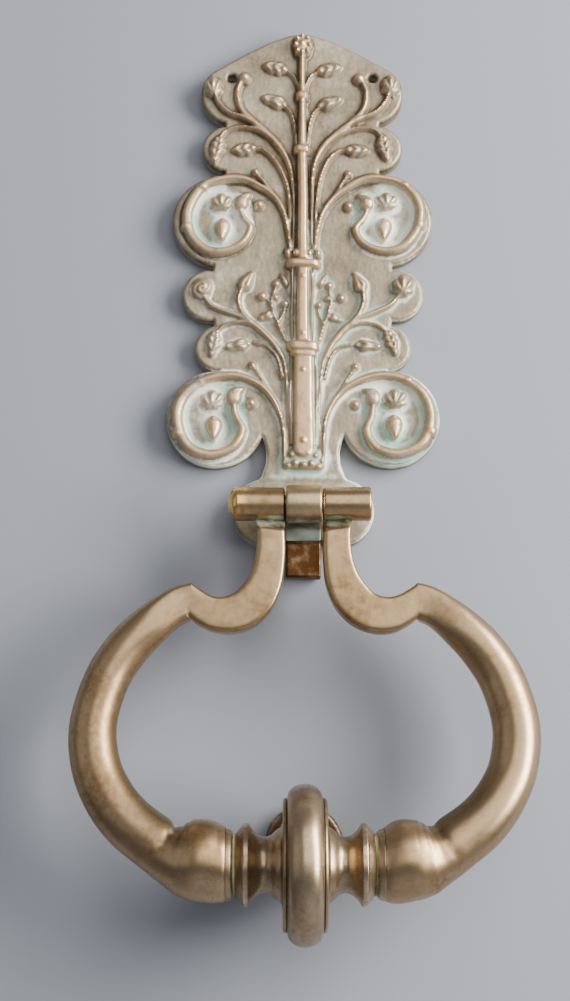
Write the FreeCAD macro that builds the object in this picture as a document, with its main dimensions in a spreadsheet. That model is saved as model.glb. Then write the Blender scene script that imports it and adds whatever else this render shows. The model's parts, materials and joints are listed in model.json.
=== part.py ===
"""Cast bronze door knocker, as it hangs on a door.

The door's face is the plane Y = 0 and the knocker stands out from it towards -Y.
+Z is up and +X is right.  The origin is on the centre line of the back, level with
the hinge, in the middle of the hole that takes the fixing stud.
"""
import FreeCAD, Part
import os
from FreeCAD import Placement, Rotation, Vector
import Sketcher

doc = FreeCAD.newDocument("DoorKnocker")

# ---------------------------------------------------------------- driving dimensions
# Millimetres.  Every x is measured from the centre line, every z from the hinge axis
# and every depth from the door's face outwards.
SIZES = {
    # hinge
    "hinge_depth": 19.0,
    "barrel_radius": 4.7,
    "barrel_start": 5.2,
    "barrel_end": 18.4,
    "dome_length": 2.4,
    "pin_radius": 2.4,
    "pin_blind_end": 16.0,
    "knuckle_radius": 5.2,
    "knuckle_half_width": 4.9,
    "knuckle_bore": 2.45,
    # hinge lug: web and foot below the knuckle
    "web_bottom": -7.6,
    "foot_depth": 4.8,
    "foot_top": 6.0,
    "foot_bottom": -18.0,
    "fixing_radius": 3.0,
    "fixing_length": 12.0,
    # back plate
    "plate_depth": 4.0,
    "boss_depth": 5.0,
    "tip_x": 1.9,
    "tip_z": 148.6,
    "tip_radius": 4.5,
    "slope_end_x": 24.7,
    "slope_end_z": 137.7,
    "slope_radius": 43.0,
    "neck_radius": 11.8,
    "notch_x": 13.6,
    "notch_z": 25.4,
    "flare_x": 14.2,
    "flare_z": 8.4,
    "boss_x": 10.3,
    "boss_z": 0.8,
    "boss_radius": 9.7,
    "screw_x": 21.2,
    "screw_z": 134.2,
    "screw_radius": 1.2,
    # relief on the plate
    "trunk_lower_half_width": 3.4,
    "trunk_middle_half_width": 2.8,
    "trunk_upper_half_width": 1.6,
    "trunk_depth": 7.2,
    "trunk_foot_z": 14.0,
    "trunk_capital_z": 50.8,
    "trunk_collar_z": 74.6,
    "trunk_top_z": 141.0,
    "capital_half_width": 4.6,
    "capital_half_height": 1.7,
    "capital_depth": 7.8,
    "band_radius": 1.5,
    "band_inset": 2.3,
    "rose_radius": 3.2,
    "rose_rise": 3.6,
    "rose_depth": 6.4,
    "top_rose_z": 143.6,
    # ring: flat swan-neck arms
    "arm_back": 15.2,
    "arm_front": 22.2,
    "arm_inner_x": 5.2,
    "arm_outer_x": 12.6,
    "arm_top": -3.0,
    "sweep_start_z": -17.0,
    "outer_sweep_radius": 15.2,
    "inner_sweep_radius": 9.9,
    "shoulder_top": -22.0,
    "shoulder_bottom": -31.0,
    "shoulder_x": 30.6,
    "shoulder_depth": 18.7,
    "shoulder_z": -26.4,
    "tenon_radius": 2.2,
    "tenon_length": 5.0,
    "solder_gap": 0.05,
    "press_gap": 0.02,
    # ring: round bar, bent round a centre of its own
    "bow_centre_x": 23.7,
    "bow_centre_z": -62.0,
    "shoulder_radius": 4.4,
    "bulb_end_radius": 9.2,
    # ring: turned striker
    "striker_depth": 24.6,
    "striker_z": -95.5,
    "rim_radius": 20.4,
    "rim_root_radius": 17.0,
    "rim_half_width": 4.5,
    "step_x": 5.6,
    "step_radius": 16.5,
    "hub_x": 6.2,
    "hub_radius": 9.4,
    "waist_x": 10.4,
    "waist_radius": 7.1,
    "collar_x": 14.6,
    "collar_radius": 9.6,
    "collar_rim_radius": 10.5,
    "collar_width": 1.2,
    "cone_x": 18.0,
    "cone_radius": 8.1,
    "striker_end_x": 20.2,
    "striker_end_radius": 8.8,
    "spigot_radius": 4.0,
    "spigot_end_x": 28.2,
    # strike plate on the door
    "anvil_radius": 10.7,
    "anvil_depth": 3.9,
    "anvil_edge": 1.2,
    "anvil_z": -91.0,
    "anvil_hole_radius": 2.0,
    "anvil_hole_length": 2.6,
}

# Round lobes that make the plate's outline: centre x, centre z and radius of each.
LOBES = {
    "top_lobe": (20.5, 129.0, 9.7),
    "upper_lobe": (22.5, 111.5, 7.2),
    "upper_scroll": (24.2, 88.6, 14.0),
    "middle_lobe": (27.4, 65.5, 7.7),
    "lower_lobe": (24.3, 49.3, 6.9),
    "lower_scroll": (25.0, 28.2, 14.2),
}
for lobe, (centre_x, centre_z, radius) in LOBES.items():
    SIZES[lobe + "_x"] = centre_x
    SIZES[lobe + "_z"] = centre_z
    SIZES[lobe + "_radius"] = radius

# Round sections of the bar between the shoulder and the striker: angle round the
# bow's centre, distance from that centre and radius of the bar.
BOW_SECTIONS = {
    "bow_shoulder": (68.0, 34.9, 4.9),
    "bow_upper": (55.0, 33.6, 5.7),
    "bow_side": (30.0, 32.8, 6.1),
    "bow_grip": (0.0, 32.1, 6.25),
    "bow_lower_side": (-28.0, 31.3, 6.7),
    "bow_lower": (-50.0, 31.1, 7.0),
    "bow_neck": (-64.0, 31.8, 7.2),
    "bulb_shoulder": (-75.0, 32.4, 9.5),
    "bulb_middle": (-84.0, 32.6, 10.4),
}
for section, (angle, reach, radius) in BOW_SECTIONS.items():
    SIZES[section + "_angle"] = angle
    SIZES[section + "_reach"] = reach
    SIZES[section + "_radius"] = radius

sheet = doc.addObject("Spreadsheet::Sheet", "Sizes")
for row, (alias, value) in enumerate(SIZES.items(), start=1):
    sheet.set(f"A{row}", alias)
    sheet.set(f"B{row}", str(value))
    sheet.setAlias(f"B{row}", alias)
doc.recompute()

# Turns that lay a primitive's own Z axis along another axis of the knocker.
TOWARDS_FRONT = Rotation(Vector(1, 0, 0), 90)
TOWARDS_RIGHT = Rotation(Vector(0, 1, 0), 90)
SIDES = {"left": -1, "right": 1}


# ---------------------------------------------------------------- helpers
def bind(obj, expressions):
    """Tie properties of obj to cells of the sheet."""
    for prop, expression in expressions.items():
        obj.setExpression(prop, expression)


def cylinder(name, radius, length, x, y, z, turn=TOWARDS_FRONT):
    """Cylinder from (x, y, z) along its turned axis; every size is an expression."""
    solid = doc.addObject("Part::Cylinder", name)
    solid.Placement = Placement(Vector(), turn)
    bind(solid, {
        "Radius": radius,
        "Height": length,
        "Placement.Base.x": x,
        "Placement.Base.y": y,
        "Placement.Base.z": z,
    })
    return solid


def box(name, half_width, front, back, bottom, top):
    """Box centred on x = 0 between two depths and two heights, all expressions."""
    solid = doc.addObject("Part::Box", name)
    bind(solid, {
        "Length": f"2 * ({half_width})",
        "Width": f"({front}) - ({back})",
        "Height": f"({top}) - ({bottom})",
        "Placement.Base.x": f"-({half_width})",
        "Placement.Base.y": f"-({front})",
        "Placement.Base.z": bottom,
    })
    return solid


def fuse(name, solids):
    """One solid from several that overlap."""
    result = doc.addObject("Part::MultiFuse", name)
    result.Shapes = solids
    return result


def cut(name, base, tool):
    """Base with tool taken away."""
    result = doc.addObject("Part::Cut", name)
    result.Base = base
    result.Tool = tool
    return result


def plane_of(body, role):
    """The body's own origin plane with that role."""
    for feature in body.Origin.OriginFeatures:
        if feature.Role == role:
            return feature
    raise ValueError(f"{body.Label} has no {role}")


def sketch_on(body, name, role):
    """Empty sketch on one of the body's origin planes."""
    sketch = body.newObject("Sketcher::SketchObject", name)
    sketch.AttachmentSupport = [(plane_of(body, role), "")]
    sketch.MapMode = "FlatFace"
    return sketch


def arc_middle(start, end, radius, side):
    """Middle of the shorter arc of a radius between two points.

    side is 1 where the arc bulges to the left of the way from start to end, and -1
    where it bulges to the right.
    """
    chord = end - start
    half = chord.Length / 2
    rise = radius - (radius ** 2 - half ** 2) ** 0.5
    left = Vector(-chord.y, chord.x, 0).normalize()
    return (start + end) * 0.5 + left * (rise * side)


def draw_outline(sketch, corners, arcs=None):
    """Closed outline through corners, each an (x, y) pair of expressions.

    arcs maps a corner's number to (radius expression, side) for the arc from that
    corner to the next; the other sides are straight.  Every corner is held by its
    distances from the sketch's origin, and every arc by its radius.
    """
    arcs = arcs or {}
    points = [
        Vector(sketch.evalExpression(x), sketch.evalExpression(y), 0)
        for x, y in corners
    ]
    for number, start in enumerate(points):
        following = (number + 1) % len(points)
        end = points[following]
        if number in arcs:
            radius, side = arcs[number]
            middle = arc_middle(start, end, sketch.evalExpression(radius), side)
            edge = sketch.addGeometry(Part.Arc(start, middle, end), False)
            hold = sketch.addConstraint(
                Sketcher.Constraint("Radius", edge, sketch.Geometry[edge].Radius))
            sketch.setExpression(f"Constraints[{hold}]", radius)
        else:
            edge = sketch.addGeometry(Part.LineSegment(start, end), False)
        for end_number in (1, 2):
            point = sketch.getPoint(edge, end_number)
            nearest = min((number, following), key=lambda n: (points[n] - point).Length)
            for kind, value, expression in (
                    ("DistanceX", points[nearest].x, corners[nearest][0]),
                    ("DistanceY", points[nearest].y, corners[nearest][1])):
                hold = sketch.addConstraint(
                    Sketcher.Constraint(kind, -1, 1, edge, end_number, value))
                sketch.setExpression(f"Constraints[{hold}]", expression)


def draw_circle(sketch, x, y, radius):
    """Circle whose centre and radius are expressions."""
    centre = Vector(sketch.evalExpression(x), sketch.evalExpression(y), 0)
    size = sketch.evalExpression(radius)
    circle = sketch.addGeometry(Part.Circle(centre, Vector(0, 0, 1), size), False)
    for constraint, expression in (
            (Sketcher.Constraint("Radius", circle, size), radius),
            (Sketcher.Constraint("DistanceX", -1, 1, circle, 3, centre.x), x),
            (Sketcher.Constraint("DistanceY", -1, 1, circle, 3, centre.y), y)):
        hold = sketch.addConstraint(constraint)
        sketch.setExpression(f"Constraints[{hold}]", expression)


def revolve(body, name, sketch, axis):
    """Full turn of the sketch about one of its own axes."""
    turned = body.newObject("PartDesign::Revolution", name)
    turned.Profile = sketch
    turned.ReferenceAxis = (sketch, [axis])
    turned.Angle = 360
    body.Tip = turned
    return turned


def mirrored(corners):
    """The corners with x reversed, in the opposite order."""
    return [(f"-({x})", y) for x, y in reversed(corners)]


# ---------------------------------------------------------------- pieces on the door
def make_backplate():
    """Cast plate: a flat core with round lobes, and the tree and scrolls in relief."""
    core = doc.addObject("PartDesign::Body", "plate_core")
    outline = sketch_on(core, "plate_outline", "XZ_Plane")
    right = [
        ("Sizes.tip_x", "Sizes.tip_z"),
        ("Sizes.slope_end_x", "Sizes.slope_end_z"),
        ("Sizes.upper_lobe_x", "Sizes.upper_lobe_z"),
        ("Sizes.upper_scroll_x", "Sizes.upper_scroll_z"),
        ("Sizes.middle_lobe_x", "Sizes.middle_lobe_z"),
        ("Sizes.lower_lobe_x", "Sizes.lower_lobe_z"),
        ("Sizes.lower_scroll_x", "Sizes.lower_scroll_z"),
        ("Sizes.notch_x", "Sizes.notch_z"),
        ("Sizes.flare_x", "Sizes.flare_z"),
        ("Sizes.flare_x", "Sizes.boss_z"),
    ]
    corners = right + mirrored(right)
    notch = 7
    last = len(corners) - 1
    draw_outline(outline, corners, {
        0: ("Sizes.slope_radius", 1),
        notch: ("Sizes.neck_radius", -1),
        last - notch - 1: ("Sizes.neck_radius", -1),
        last - 1: ("Sizes.slope_radius", 1),
        last: ("Sizes.tip_radius", 1),
    })
    pad = core.newObject("PartDesign::Pad", "plate_pad")
    pad.Profile = outline
    bind(pad, {"Length": "Sizes.plate_depth"})
    core.Tip = pad

    solids = [core]
    for side, sign in SIDES.items():
        for lobe in LOBES:
            solids.append(cylinder(
                f"{side}_{lobe}", f"Sizes.{lobe}_radius", "Sizes.plate_depth",
                f"{sign} * Sizes.{lobe}_x", "0", f"Sizes.{lobe}_z"))
        solids.append(cylinder(
            f"{side}_boss", "Sizes.boss_radius", "Sizes.boss_depth",
            f"{sign} * Sizes.boss_x", "0", "Sizes.boss_z"))
        for scroll in ("upper_scroll", "lower_scroll"):
            solids.append(scroll_band(side, sign, scroll))
            solids.append(cylinder(
                f"{side}_{scroll}_rose", "Sizes.rose_radius", "Sizes.rose_depth",
                f"{sign} * Sizes.{scroll}_x", "0",
                f"Sizes.{scroll}_z + Sizes.rose_rise"))
    solids.append(cylinder(
        "top_rose", "Sizes.rose_radius", "Sizes.rose_depth",
        "0", "0", "Sizes.top_rose_z"))
    solids += trunk()
    whole = fuse("plate_relief", solids)

    holes = [
        cylinder(f"{side}_screw_hole", "Sizes.screw_radius", "2 * Sizes.plate_depth",
                 f"{sign} * Sizes.screw_x", "Sizes.plate_depth / 2", "Sizes.screw_z")
        for side, sign in SIDES.items()
    ]
    slot = box("lug_slot", "Sizes.knuckle_half_width", "2 * Sizes.boss_depth",
               "-Sizes.boss_depth", "2 * Sizes.foot_bottom", "Sizes.foot_top")
    return cut("backplate", whole, fuse("plate_cuts", holes + [slot]))


def scroll_band(side, sign, scroll):
    """Ring of half-round band just inside a scroll lobe's edge, half in the plate."""
    band = doc.addObject("Part::Torus", f"{side}_{scroll}_band")
    band.Placement = Placement(Vector(), TOWARDS_FRONT)
    bind(band, {
        "Radius1": f"Sizes.{scroll}_radius - Sizes.band_inset",
        "Radius2": "Sizes.band_radius",
        "Placement.Base.x": f"{sign} * Sizes.{scroll}_x",
        "Placement.Base.y": "-Sizes.plate_depth",
        "Placement.Base.z": f"Sizes.{scroll}_z",
    })
    return band


def trunk():
    """Tree trunk in three widths, with a capital and a collar between them."""
    stretches = {
        "lower": ("Sizes.trunk_foot_z", "Sizes.trunk_capital_z"),
        "middle": ("Sizes.trunk_capital_z", "Sizes.trunk_collar_z"),
        "upper": ("Sizes.trunk_collar_z", "Sizes.trunk_top_z"),
    }
    solids = [
        box(f"{name}_trunk", f"Sizes.trunk_{name}_half_width",
            "Sizes.trunk_depth", "0", bottom, top)
        for name, (bottom, top) in stretches.items()
    ]
    for name in ("capital", "collar"):
        level = f"Sizes.trunk_{name}_z"
        solids.append(box(
            f"trunk_{name}", "Sizes.capital_half_width", "Sizes.capital_depth", "0",
            f"{level} - Sizes.capital_half_height",
            f"{level} + Sizes.capital_half_height"))
    return solids


def make_hinge_lug():
    """Knuckle, web and foot in one piece, let into the foot of the plate."""
    body = doc.addObject("PartDesign::Body", "lug_body")
    outline = sketch_on(body, "lug_outline", "YZ_Plane")
    draw_outline(outline, [
        ("0", "Sizes.foot_bottom"),
        ("0", "Sizes.foot_top"),
        ("-Sizes.foot_depth", "Sizes.foot_top"),
        ("-Sizes.hinge_depth", "Sizes.knuckle_radius"),
        ("-Sizes.hinge_depth - Sizes.knuckle_radius", "0"),
        ("-Sizes.hinge_depth", "-Sizes.knuckle_radius"),
        ("-Sizes.foot_depth", "Sizes.web_bottom"),
        ("-Sizes.foot_depth", "Sizes.foot_bottom"),
    ], {
        3: ("Sizes.knuckle_radius", -1),
        4: ("Sizes.knuckle_radius", -1),
    })
    draw_circle(outline, "-Sizes.hinge_depth", "0", "Sizes.knuckle_bore")
    pad = body.newObject("PartDesign::Pad", "lug_pad")
    pad.Profile = outline
    pad.Midplane = True
    bind(pad, {"Length": "2 * Sizes.knuckle_half_width"})
    body.Tip = pad
    hole = cylinder("fixing_hole", "Sizes.fixing_radius", "Sizes.fixing_length",
                    "0", "0", "0")
    return cut("hinge_lug", body, hole)


def make_strike_plate():
    """Disc with a rounded edge on the door, with a blind fixing hole in its back."""
    body = doc.addObject("PartDesign::Body", "strike_plate")
    bind(body, {"Placement.Base.z": "Sizes.anvil_z"})
    profile = sketch_on(body, "anvil_profile", "XY_Plane")
    draw_outline(profile, [
        ("Sizes.anvil_hole_radius", "0"),
        ("Sizes.anvil_radius", "0"),
        ("Sizes.anvil_radius", "Sizes.anvil_edge - Sizes.anvil_depth"),
        ("Sizes.anvil_radius - Sizes.anvil_edge", "-Sizes.anvil_depth"),
        ("0", "-Sizes.anvil_depth"),
        ("0", "-Sizes.anvil_hole_length"),
        ("Sizes.anvil_hole_radius", "-Sizes.anvil_hole_length"),
    ], {2: ("Sizes.anvil_edge", 1)})
    revolve(body, "anvil", profile, "V_Axis")
    return body


# ---------------------------------------------------------------- the ring
def make_hanger(side, sign):
    """Flat swan-neck arm and its hinge barrel; the left barrel is closed by a dome."""
    body = doc.addObject("PartDesign::Body", f"{side}_hanger_body")
    outline = sketch_on(body, f"{side}_arm_outline", "XZ_Plane")
    bind(outline, {"AttachmentOffset.Base.z": "Sizes.arm_back"})
    draw_outline(outline, [
        (f"{sign} * Sizes.arm_inner_x", "Sizes.arm_top"),
        (f"{sign} * Sizes.arm_inner_x", "Sizes.sweep_start_z"),
        (f"{sign} * Sizes.shoulder_x", "Sizes.shoulder_bottom"),
        (f"{sign} * Sizes.shoulder_x", "Sizes.shoulder_top"),
        (f"{sign} * Sizes.arm_outer_x", "Sizes.sweep_start_z"),
        (f"{sign} * Sizes.arm_outer_x", "Sizes.arm_top"),
    ], {
        1: ("Sizes.outer_sweep_radius", -sign),
        3: ("Sizes.inner_sweep_radius", sign),
    })
    arm = body.newObject("PartDesign::Pad", f"{side}_arm")
    arm.Profile = outline
    bind(arm, {"Length": "Sizes.arm_front - Sizes.arm_back"})

    profile = sketch_on(body, f"{side}_barrel_profile", "XY_Plane")
    bind(profile, {"AttachmentOffset.Base.y": "-Sizes.hinge_depth"})
    bore = "Sizes.pin_radius + Sizes.press_gap"
    start = f"{sign} * Sizes.barrel_start"
    end = f"{sign} * Sizes.barrel_end"
    if side == "left":
        blind_end = f"{sign} * Sizes.pin_blind_end"
        dome_end = f"{sign} * (Sizes.barrel_end + Sizes.dome_length)"
        dome = "(Sizes.barrel_radius^2 + Sizes.dome_length^2) / (2 * Sizes.dome_length)"
        draw_outline(profile, [
            (start, bore),
            (blind_end, bore),
            (blind_end, "0"),
            (dome_end, "0"),
            (end, "Sizes.barrel_radius"),
            (start, "Sizes.barrel_radius"),
        ], {3: (dome, 1)})
    else:
        draw_outline(profile, [
            (start, bore),
            (end, bore),
            (end, "Sizes.barrel_radius"),
            (start, "Sizes.barrel_radius"),
        ])
    revolve(body, f"{side}_barrel", profile, "H_Axis")
    socket = shoulder_cylinder(side, sign, "socket", "Sizes.tenon_radius + Sizes.solder_gap")
    return cut(f"{side}_hanger", body, socket)


def shoulder_cylinder(side, sign, name, radius):
    """Cylinder that runs from the shoulder's seam into the arm."""
    return cylinder(
        f"{side}_{name}", radius, "Sizes.tenon_length",
        f"{sign} * Sizes.shoulder_x - {1 if sign > 0 else 0} * Sizes.tenon_length",
        "-Sizes.shoulder_depth", "Sizes.shoulder_z", TOWARDS_RIGHT)


def bow_section(side, sign, name, x, depth, z, radius, turn):
    """Round section of the bar; turn is its tilt about Y as an expression."""
    circle = doc.addObject("Part::Circle", f"{side}_{name}_section")
    place = f"vector({sign} * ({x}); -({depth}); {z})"
    bind(circle, {
        "Radius": radius,
        "Placement": f"placement({place}; rotation(vector(0; 1; 0); {sign} * ({turn})))",
    })
    return circle


def make_bow(side, sign):
    """Half of the round bar: a loft from the shoulder round to the bulb's flat end."""
    full_fall = "(Sizes.striker_depth - Sizes.shoulder_depth)"
    sections = [bow_section(
        side, sign, "first", "Sizes.shoulder_x", "Sizes.shoulder_depth",
        "Sizes.shoulder_z", "Sizes.shoulder_radius", "90")]
    for name in BOW_SECTIONS:
        angle = f"Sizes.{name}_angle"
        reach = f"Sizes.{name}_reach"
        share = f"(90 - {angle}) / 180"
        sections.append(bow_section(
            side, sign, name,
            f"Sizes.bow_centre_x + {reach} * cos({angle} * 1 deg)",
            f"Sizes.shoulder_depth + {full_fall} * {share}",
            f"Sizes.bow_centre_z + {reach} * sin({angle} * 1 deg)",
            f"Sizes.{name}_radius", f"180 - {angle}"))
    sections.append(bow_section(
        side, sign, "last", "Sizes.striker_end_x", "Sizes.striker_depth",
        "Sizes.striker_z", "Sizes.bulb_end_radius", "270"))
    bar = doc.addObject("Part::Loft", f"{side}_bar")
    bar.Sections = sections
    bar.Solid = True
    tenon = shoulder_cylinder(side, sign, "tenon", "Sizes.tenon_radius")
    whole = fuse(f"{side}_bar_with_tenon", [bar, tenon])
    length = "(Sizes.spigot_end_x - Sizes.striker_end_x + Sizes.solder_gap)"
    socket = cylinder(
        f"{side}_spigot_socket", "Sizes.spigot_radius + Sizes.solder_gap", length,
        f"{sign} * Sizes.striker_end_x - {0 if sign > 0 else 1} * {length}",
        "-Sizes.striker_depth", "Sizes.striker_z", TOWARDS_RIGHT)
    return cut(f"{side}_bow", whole, socket)


def make_striker():
    """Turned middle of the ring: wide half-round rim, hubs, collars and spigots."""
    body = doc.addObject("PartDesign::Body", "striker")
    bind(body, {
        "Placement.Base.y": "-Sizes.striker_depth",
        "Placement.Base.z": "Sizes.striker_z",
    })
    profile = sketch_on(body, "striker_profile", "XY_Plane")
    right = [
        ("Sizes.rim_half_width", "Sizes.rim_root_radius"),
        ("Sizes.step_x", "Sizes.step_radius"),
        ("Sizes.hub_x", "Sizes.hub_radius"),
        ("Sizes.waist_x", "Sizes.waist_radius"),
        ("Sizes.collar_x", "Sizes.collar_radius"),
        ("Sizes.collar_x", "Sizes.collar_rim_radius"),
        ("Sizes.collar_x + Sizes.collar_width", "Sizes.collar_rim_radius"),
        ("Sizes.cone_x", "Sizes.cone_radius"),
        ("Sizes.striker_end_x", "Sizes.striker_end_radius"),
        ("Sizes.striker_end_x", "Sizes.spigot_radius"),
        ("Sizes.spigot_end_x", "Sizes.spigot_radius"),
        ("Sizes.spigot_end_x", "0"),
    ]
    corners = right + mirrored(right)
    last = len(corners) - 1
    hub = "(Sizes.waist_x - Sizes.hub_x)"
    rise = "(Sizes.rim_radius - Sizes.rim_root_radius)"
    rim = f"(Sizes.rim_half_width^2 + {rise}^2) / (2 * {rise})"
    draw_outline(profile, corners, {
        2: (hub, 1),
        3: (hub, -1),
        last - 4: (hub, -1),
        last - 3: (hub, 1),
        last: (rim, 1),
    })
    revolve(body, "turned_striker", profile, "H_Axis")
    return body


def make_hinge_pin():
    """Pin from the left barrel's blind bore through the knuckle to the right end."""
    return cylinder(
        "hinge_pin", "Sizes.pin_radius",
        "Sizes.pin_blind_end + Sizes.barrel_end - Sizes.solder_gap",
        "-Sizes.pin_blind_end + Sizes.solder_gap", "-Sizes.hinge_depth", "0",
        TOWARDS_RIGHT)


# ---------------------------------------------------------------- build and write
pieces = {
    "backplate": make_backplate(),
    "hinge_lug": make_hinge_lug(),
    "strike_plate": make_strike_plate(),
    "hinge_pin": make_hinge_pin(),
    "striker": make_striker(),
}
for side, sign in SIDES.items():
    pieces[f"{side}_hanger"] = make_hanger(side, sign)
    pieces[f"{side}_bow"] = make_bow(side, sign)
for node, piece in pieces.items():
    piece.Label = node
doc.recompute()

for obj in doc.Objects:
    if {"Invalid", "Error"} & set(obj.State):
        raise RuntimeError(f"{obj.Name} failed: {obj.State}")

os.makedirs("parts", exist_ok=True)
for node, piece in pieces.items():
    shape = piece.Shape
    if shape.isNull() or not shape.isValid() or len(shape.Solids) != 1:
        raise RuntimeError(f"{node} is not one valid solid")
    shape.exportStep(f"parts/{node}.step")
    low = [round(value, 2) for value in shape.BoundBox.getPoint(0)]
    high = [round(value, 2) for value in shape.BoundBox.getPoint(6)]
    print(f"{node}: {round(shape.Volume)} mm3, {low} to {high}")
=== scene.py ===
# %% [markdown]
# # A cast bronze door knocker
# An old door knocker is two things that meet at a hinge: a plate cast with a tree in
# relief, fixed to the door, and a heavy ring that swings and strikes a disc.
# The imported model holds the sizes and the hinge. This lesson dresses it: every piece is
# a surface worked out with numpy, and every finish is a set of shader nodes.
# %% Load the frame
import bmesh
import bpy
import json
import math
import numpy as np
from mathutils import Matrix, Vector


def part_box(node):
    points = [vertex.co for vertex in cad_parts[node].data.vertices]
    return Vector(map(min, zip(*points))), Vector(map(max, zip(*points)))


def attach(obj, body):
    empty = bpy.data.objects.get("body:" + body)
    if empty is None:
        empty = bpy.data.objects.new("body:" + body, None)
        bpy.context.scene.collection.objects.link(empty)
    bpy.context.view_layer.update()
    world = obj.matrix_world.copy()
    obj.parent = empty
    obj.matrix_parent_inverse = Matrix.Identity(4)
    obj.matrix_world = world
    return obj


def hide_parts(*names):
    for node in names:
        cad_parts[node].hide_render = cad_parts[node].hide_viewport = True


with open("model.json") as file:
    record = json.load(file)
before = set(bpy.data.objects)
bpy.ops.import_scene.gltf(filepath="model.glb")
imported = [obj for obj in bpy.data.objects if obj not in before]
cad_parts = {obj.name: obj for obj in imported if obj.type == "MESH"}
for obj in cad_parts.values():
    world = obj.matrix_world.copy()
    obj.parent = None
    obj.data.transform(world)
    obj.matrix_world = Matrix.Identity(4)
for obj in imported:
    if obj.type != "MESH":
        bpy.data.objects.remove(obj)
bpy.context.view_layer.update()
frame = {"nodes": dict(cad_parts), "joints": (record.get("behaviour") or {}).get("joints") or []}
print("nodes in the frame:", sorted(frame["nodes"]))

# %% [markdown]
# ## Working sizes
# Bronze founders think in millimetres, so the shapes below are in millimetres and are
# turned into metres once, when a mesh is made. The sizes that other pieces must meet,
# such as the hinge axis, are read from the frame, so that they always agree with it.
# %% Sizes taken from the frame
MM = 0.001
HINGE_DEPTH = -frame["joints"][0]["pos_m"][1] / MM
STRIKER_LOW, STRIKER_HIGH = (np.array(corner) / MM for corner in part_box("striker"))
STRIKER_CENTRE = (STRIKER_LOW + STRIKER_HIGH) / 2
RIM_RADIUS = (STRIKER_HIGH[2] - STRIKER_LOW[2]) / 2
print("hinge axis", round(HINGE_DEPTH, 2), "mm out; rim radius", round(RIM_RADIUS, 2))


# %% [markdown]
# ## From arrays to a mesh
# A surface on a grid is rows of points joined by four-sided faces. Blender takes the
# points and the faces as two plain lists, so one helper serves every piece. It also
# writes named values onto the points, which the finishes read later to know where
# metal is worn and where green corrosion sits.
# %% Grid and mesh helpers
def grid_faces(rows, columns, first=0, wrap=True):
    """Four-sided faces of a grid of rows by columns; wrap joins the last column to
    the first, so that each row is a closed ring."""
    row, column = np.mgrid[0:rows - 1, 0:columns if wrap else columns - 1]
    following = (column + 1) % columns
    corners = (row * columns + column, row * columns + following,
               (row + 1) * columns + following, (row + 1) * columns + column)
    return first + np.stack(corners, -1).reshape(-1, 4)


def new_piece(name, points, faces, node, body, values=None, hard_angle=50):
    """Closed mesh from points in millimetres and lists of faces, in its place. Faces are
    turned outwards and hard edges are marked."""
    mesh = bpy.data.meshes.new(name)
    mesh.from_pydata((np.asarray(points) * MM).tolist(), [], faces)
    for value_name, value in (values or {}).items():
        layer = mesh.attributes.new(value_name, "FLOAT", "POINT")
        layer.data.foreach_set("value", np.asarray(value, np.float32).ravel())
    shell = bmesh.new()
    shell.from_mesh(mesh)
    bmesh.ops.recalc_face_normals(shell, faces=shell.faces)
    closed = all(edge.is_manifold for edge in shell.edges)
    shell.to_mesh(mesh)
    shell.free()
    mesh.polygons.foreach_set("use_smooth", np.ones(len(mesh.polygons), bool))
    mesh.set_sharp_from_angle(angle=math.radians(hard_angle))
    mesh.update()
    piece = bpy.data.objects.new(name, mesh)
    bpy.context.scene.collection.objects.link(piece)
    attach(piece, body)
    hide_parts(node)
    print(name, len(mesh.polygons), "faces, closed" if closed else "faces, OPEN")
    return piece


def join_shells(*shells):
    """One set of points, faces and values from several closed shells."""
    points, faces, values, first = [], [], {}, 0
    for shell_points, shell_faces, shell_values in shells:
        points.append(shell_points)
        faces += [[first + corner for corner in face] for face in shell_faces]
        for key, value in shell_values.items():
            values.setdefault(key, []).append(value)
        first += len(shell_points)
    return np.concatenate(points), faces, {k: np.concatenate(v) for k, v in values.items()}


# %% [markdown]
# ## Smooth lines through a few points
# Tendrils, arms and the ring's bar all follow lines that bend gently. A Catmull-Rom
# curve goes through every point that it is given and needs nothing else, so a handful
# of listed points is enough to describe each line.
# %% Smooth line
def smooth_line(points, count):
    """Catmull-Rom curve: between two points it is a cubic whose slope at each of them
    is half the step from the point before to the point after."""
    points = np.asarray(points, float)
    padded = np.vstack([2 * points[0] - points[1], points, 2 * points[-1] - points[-2]])
    place = np.linspace(0, len(points) - 1, count)
    span = np.minimum(place.astype(int), len(points) - 2)
    t = (place - span)[:, None]
    p0, p1, p2, p3 = (padded[span + step] for step in range(4))
    return 0.5 * (2 * p1 + (p2 - p0) * t + (2 * p0 - 5 * p1 + 4 * p2 - p3) * t ** 2
                  + (3 * p1 - p0 - 3 * p2 + p3) * t ** 3)


# %% [markdown]
# ## The back plate: outline
# The plate's edge is a row of round lobes joined by sharp notches. It could be drawn as
# one long curve, but a distance field is shorter: the distance to the edge of a union
# is the smallest of the distances to its parts. Negative is inside the metal.
# %% Plate outline as a distance field
LOBES = (
    (20.5, 129.0, 9.7),
    (22.5, 111.5, 7.2),
    (24.2, 88.6, 14.0),
    (27.4, 65.5, 7.7),
    (24.3, 49.3, 6.9),
    (25.0, 28.2, 14.2),
    (10.3, 0.8, 9.7),
)
CORE = (
    (0.0, 0.8), (14.2, 0.8), (14.2, 8.4), (11.9, 11.2), (10.6, 15.0), (10.4, 18.5),
    (11.3, 22.3), (13.6, 25.4), (25.0, 28.2), (24.3, 49.3), (27.4, 65.5), (24.2, 88.6),
    (22.5, 111.5), (24.7, 137.7), (18.0, 141.8), (10.2, 146.0), (3.6, 148.5), (0.0, 149.0),
)
SLOT_HALF_WIDTH = 5.0
SLOT_TOP = 6.0


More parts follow.
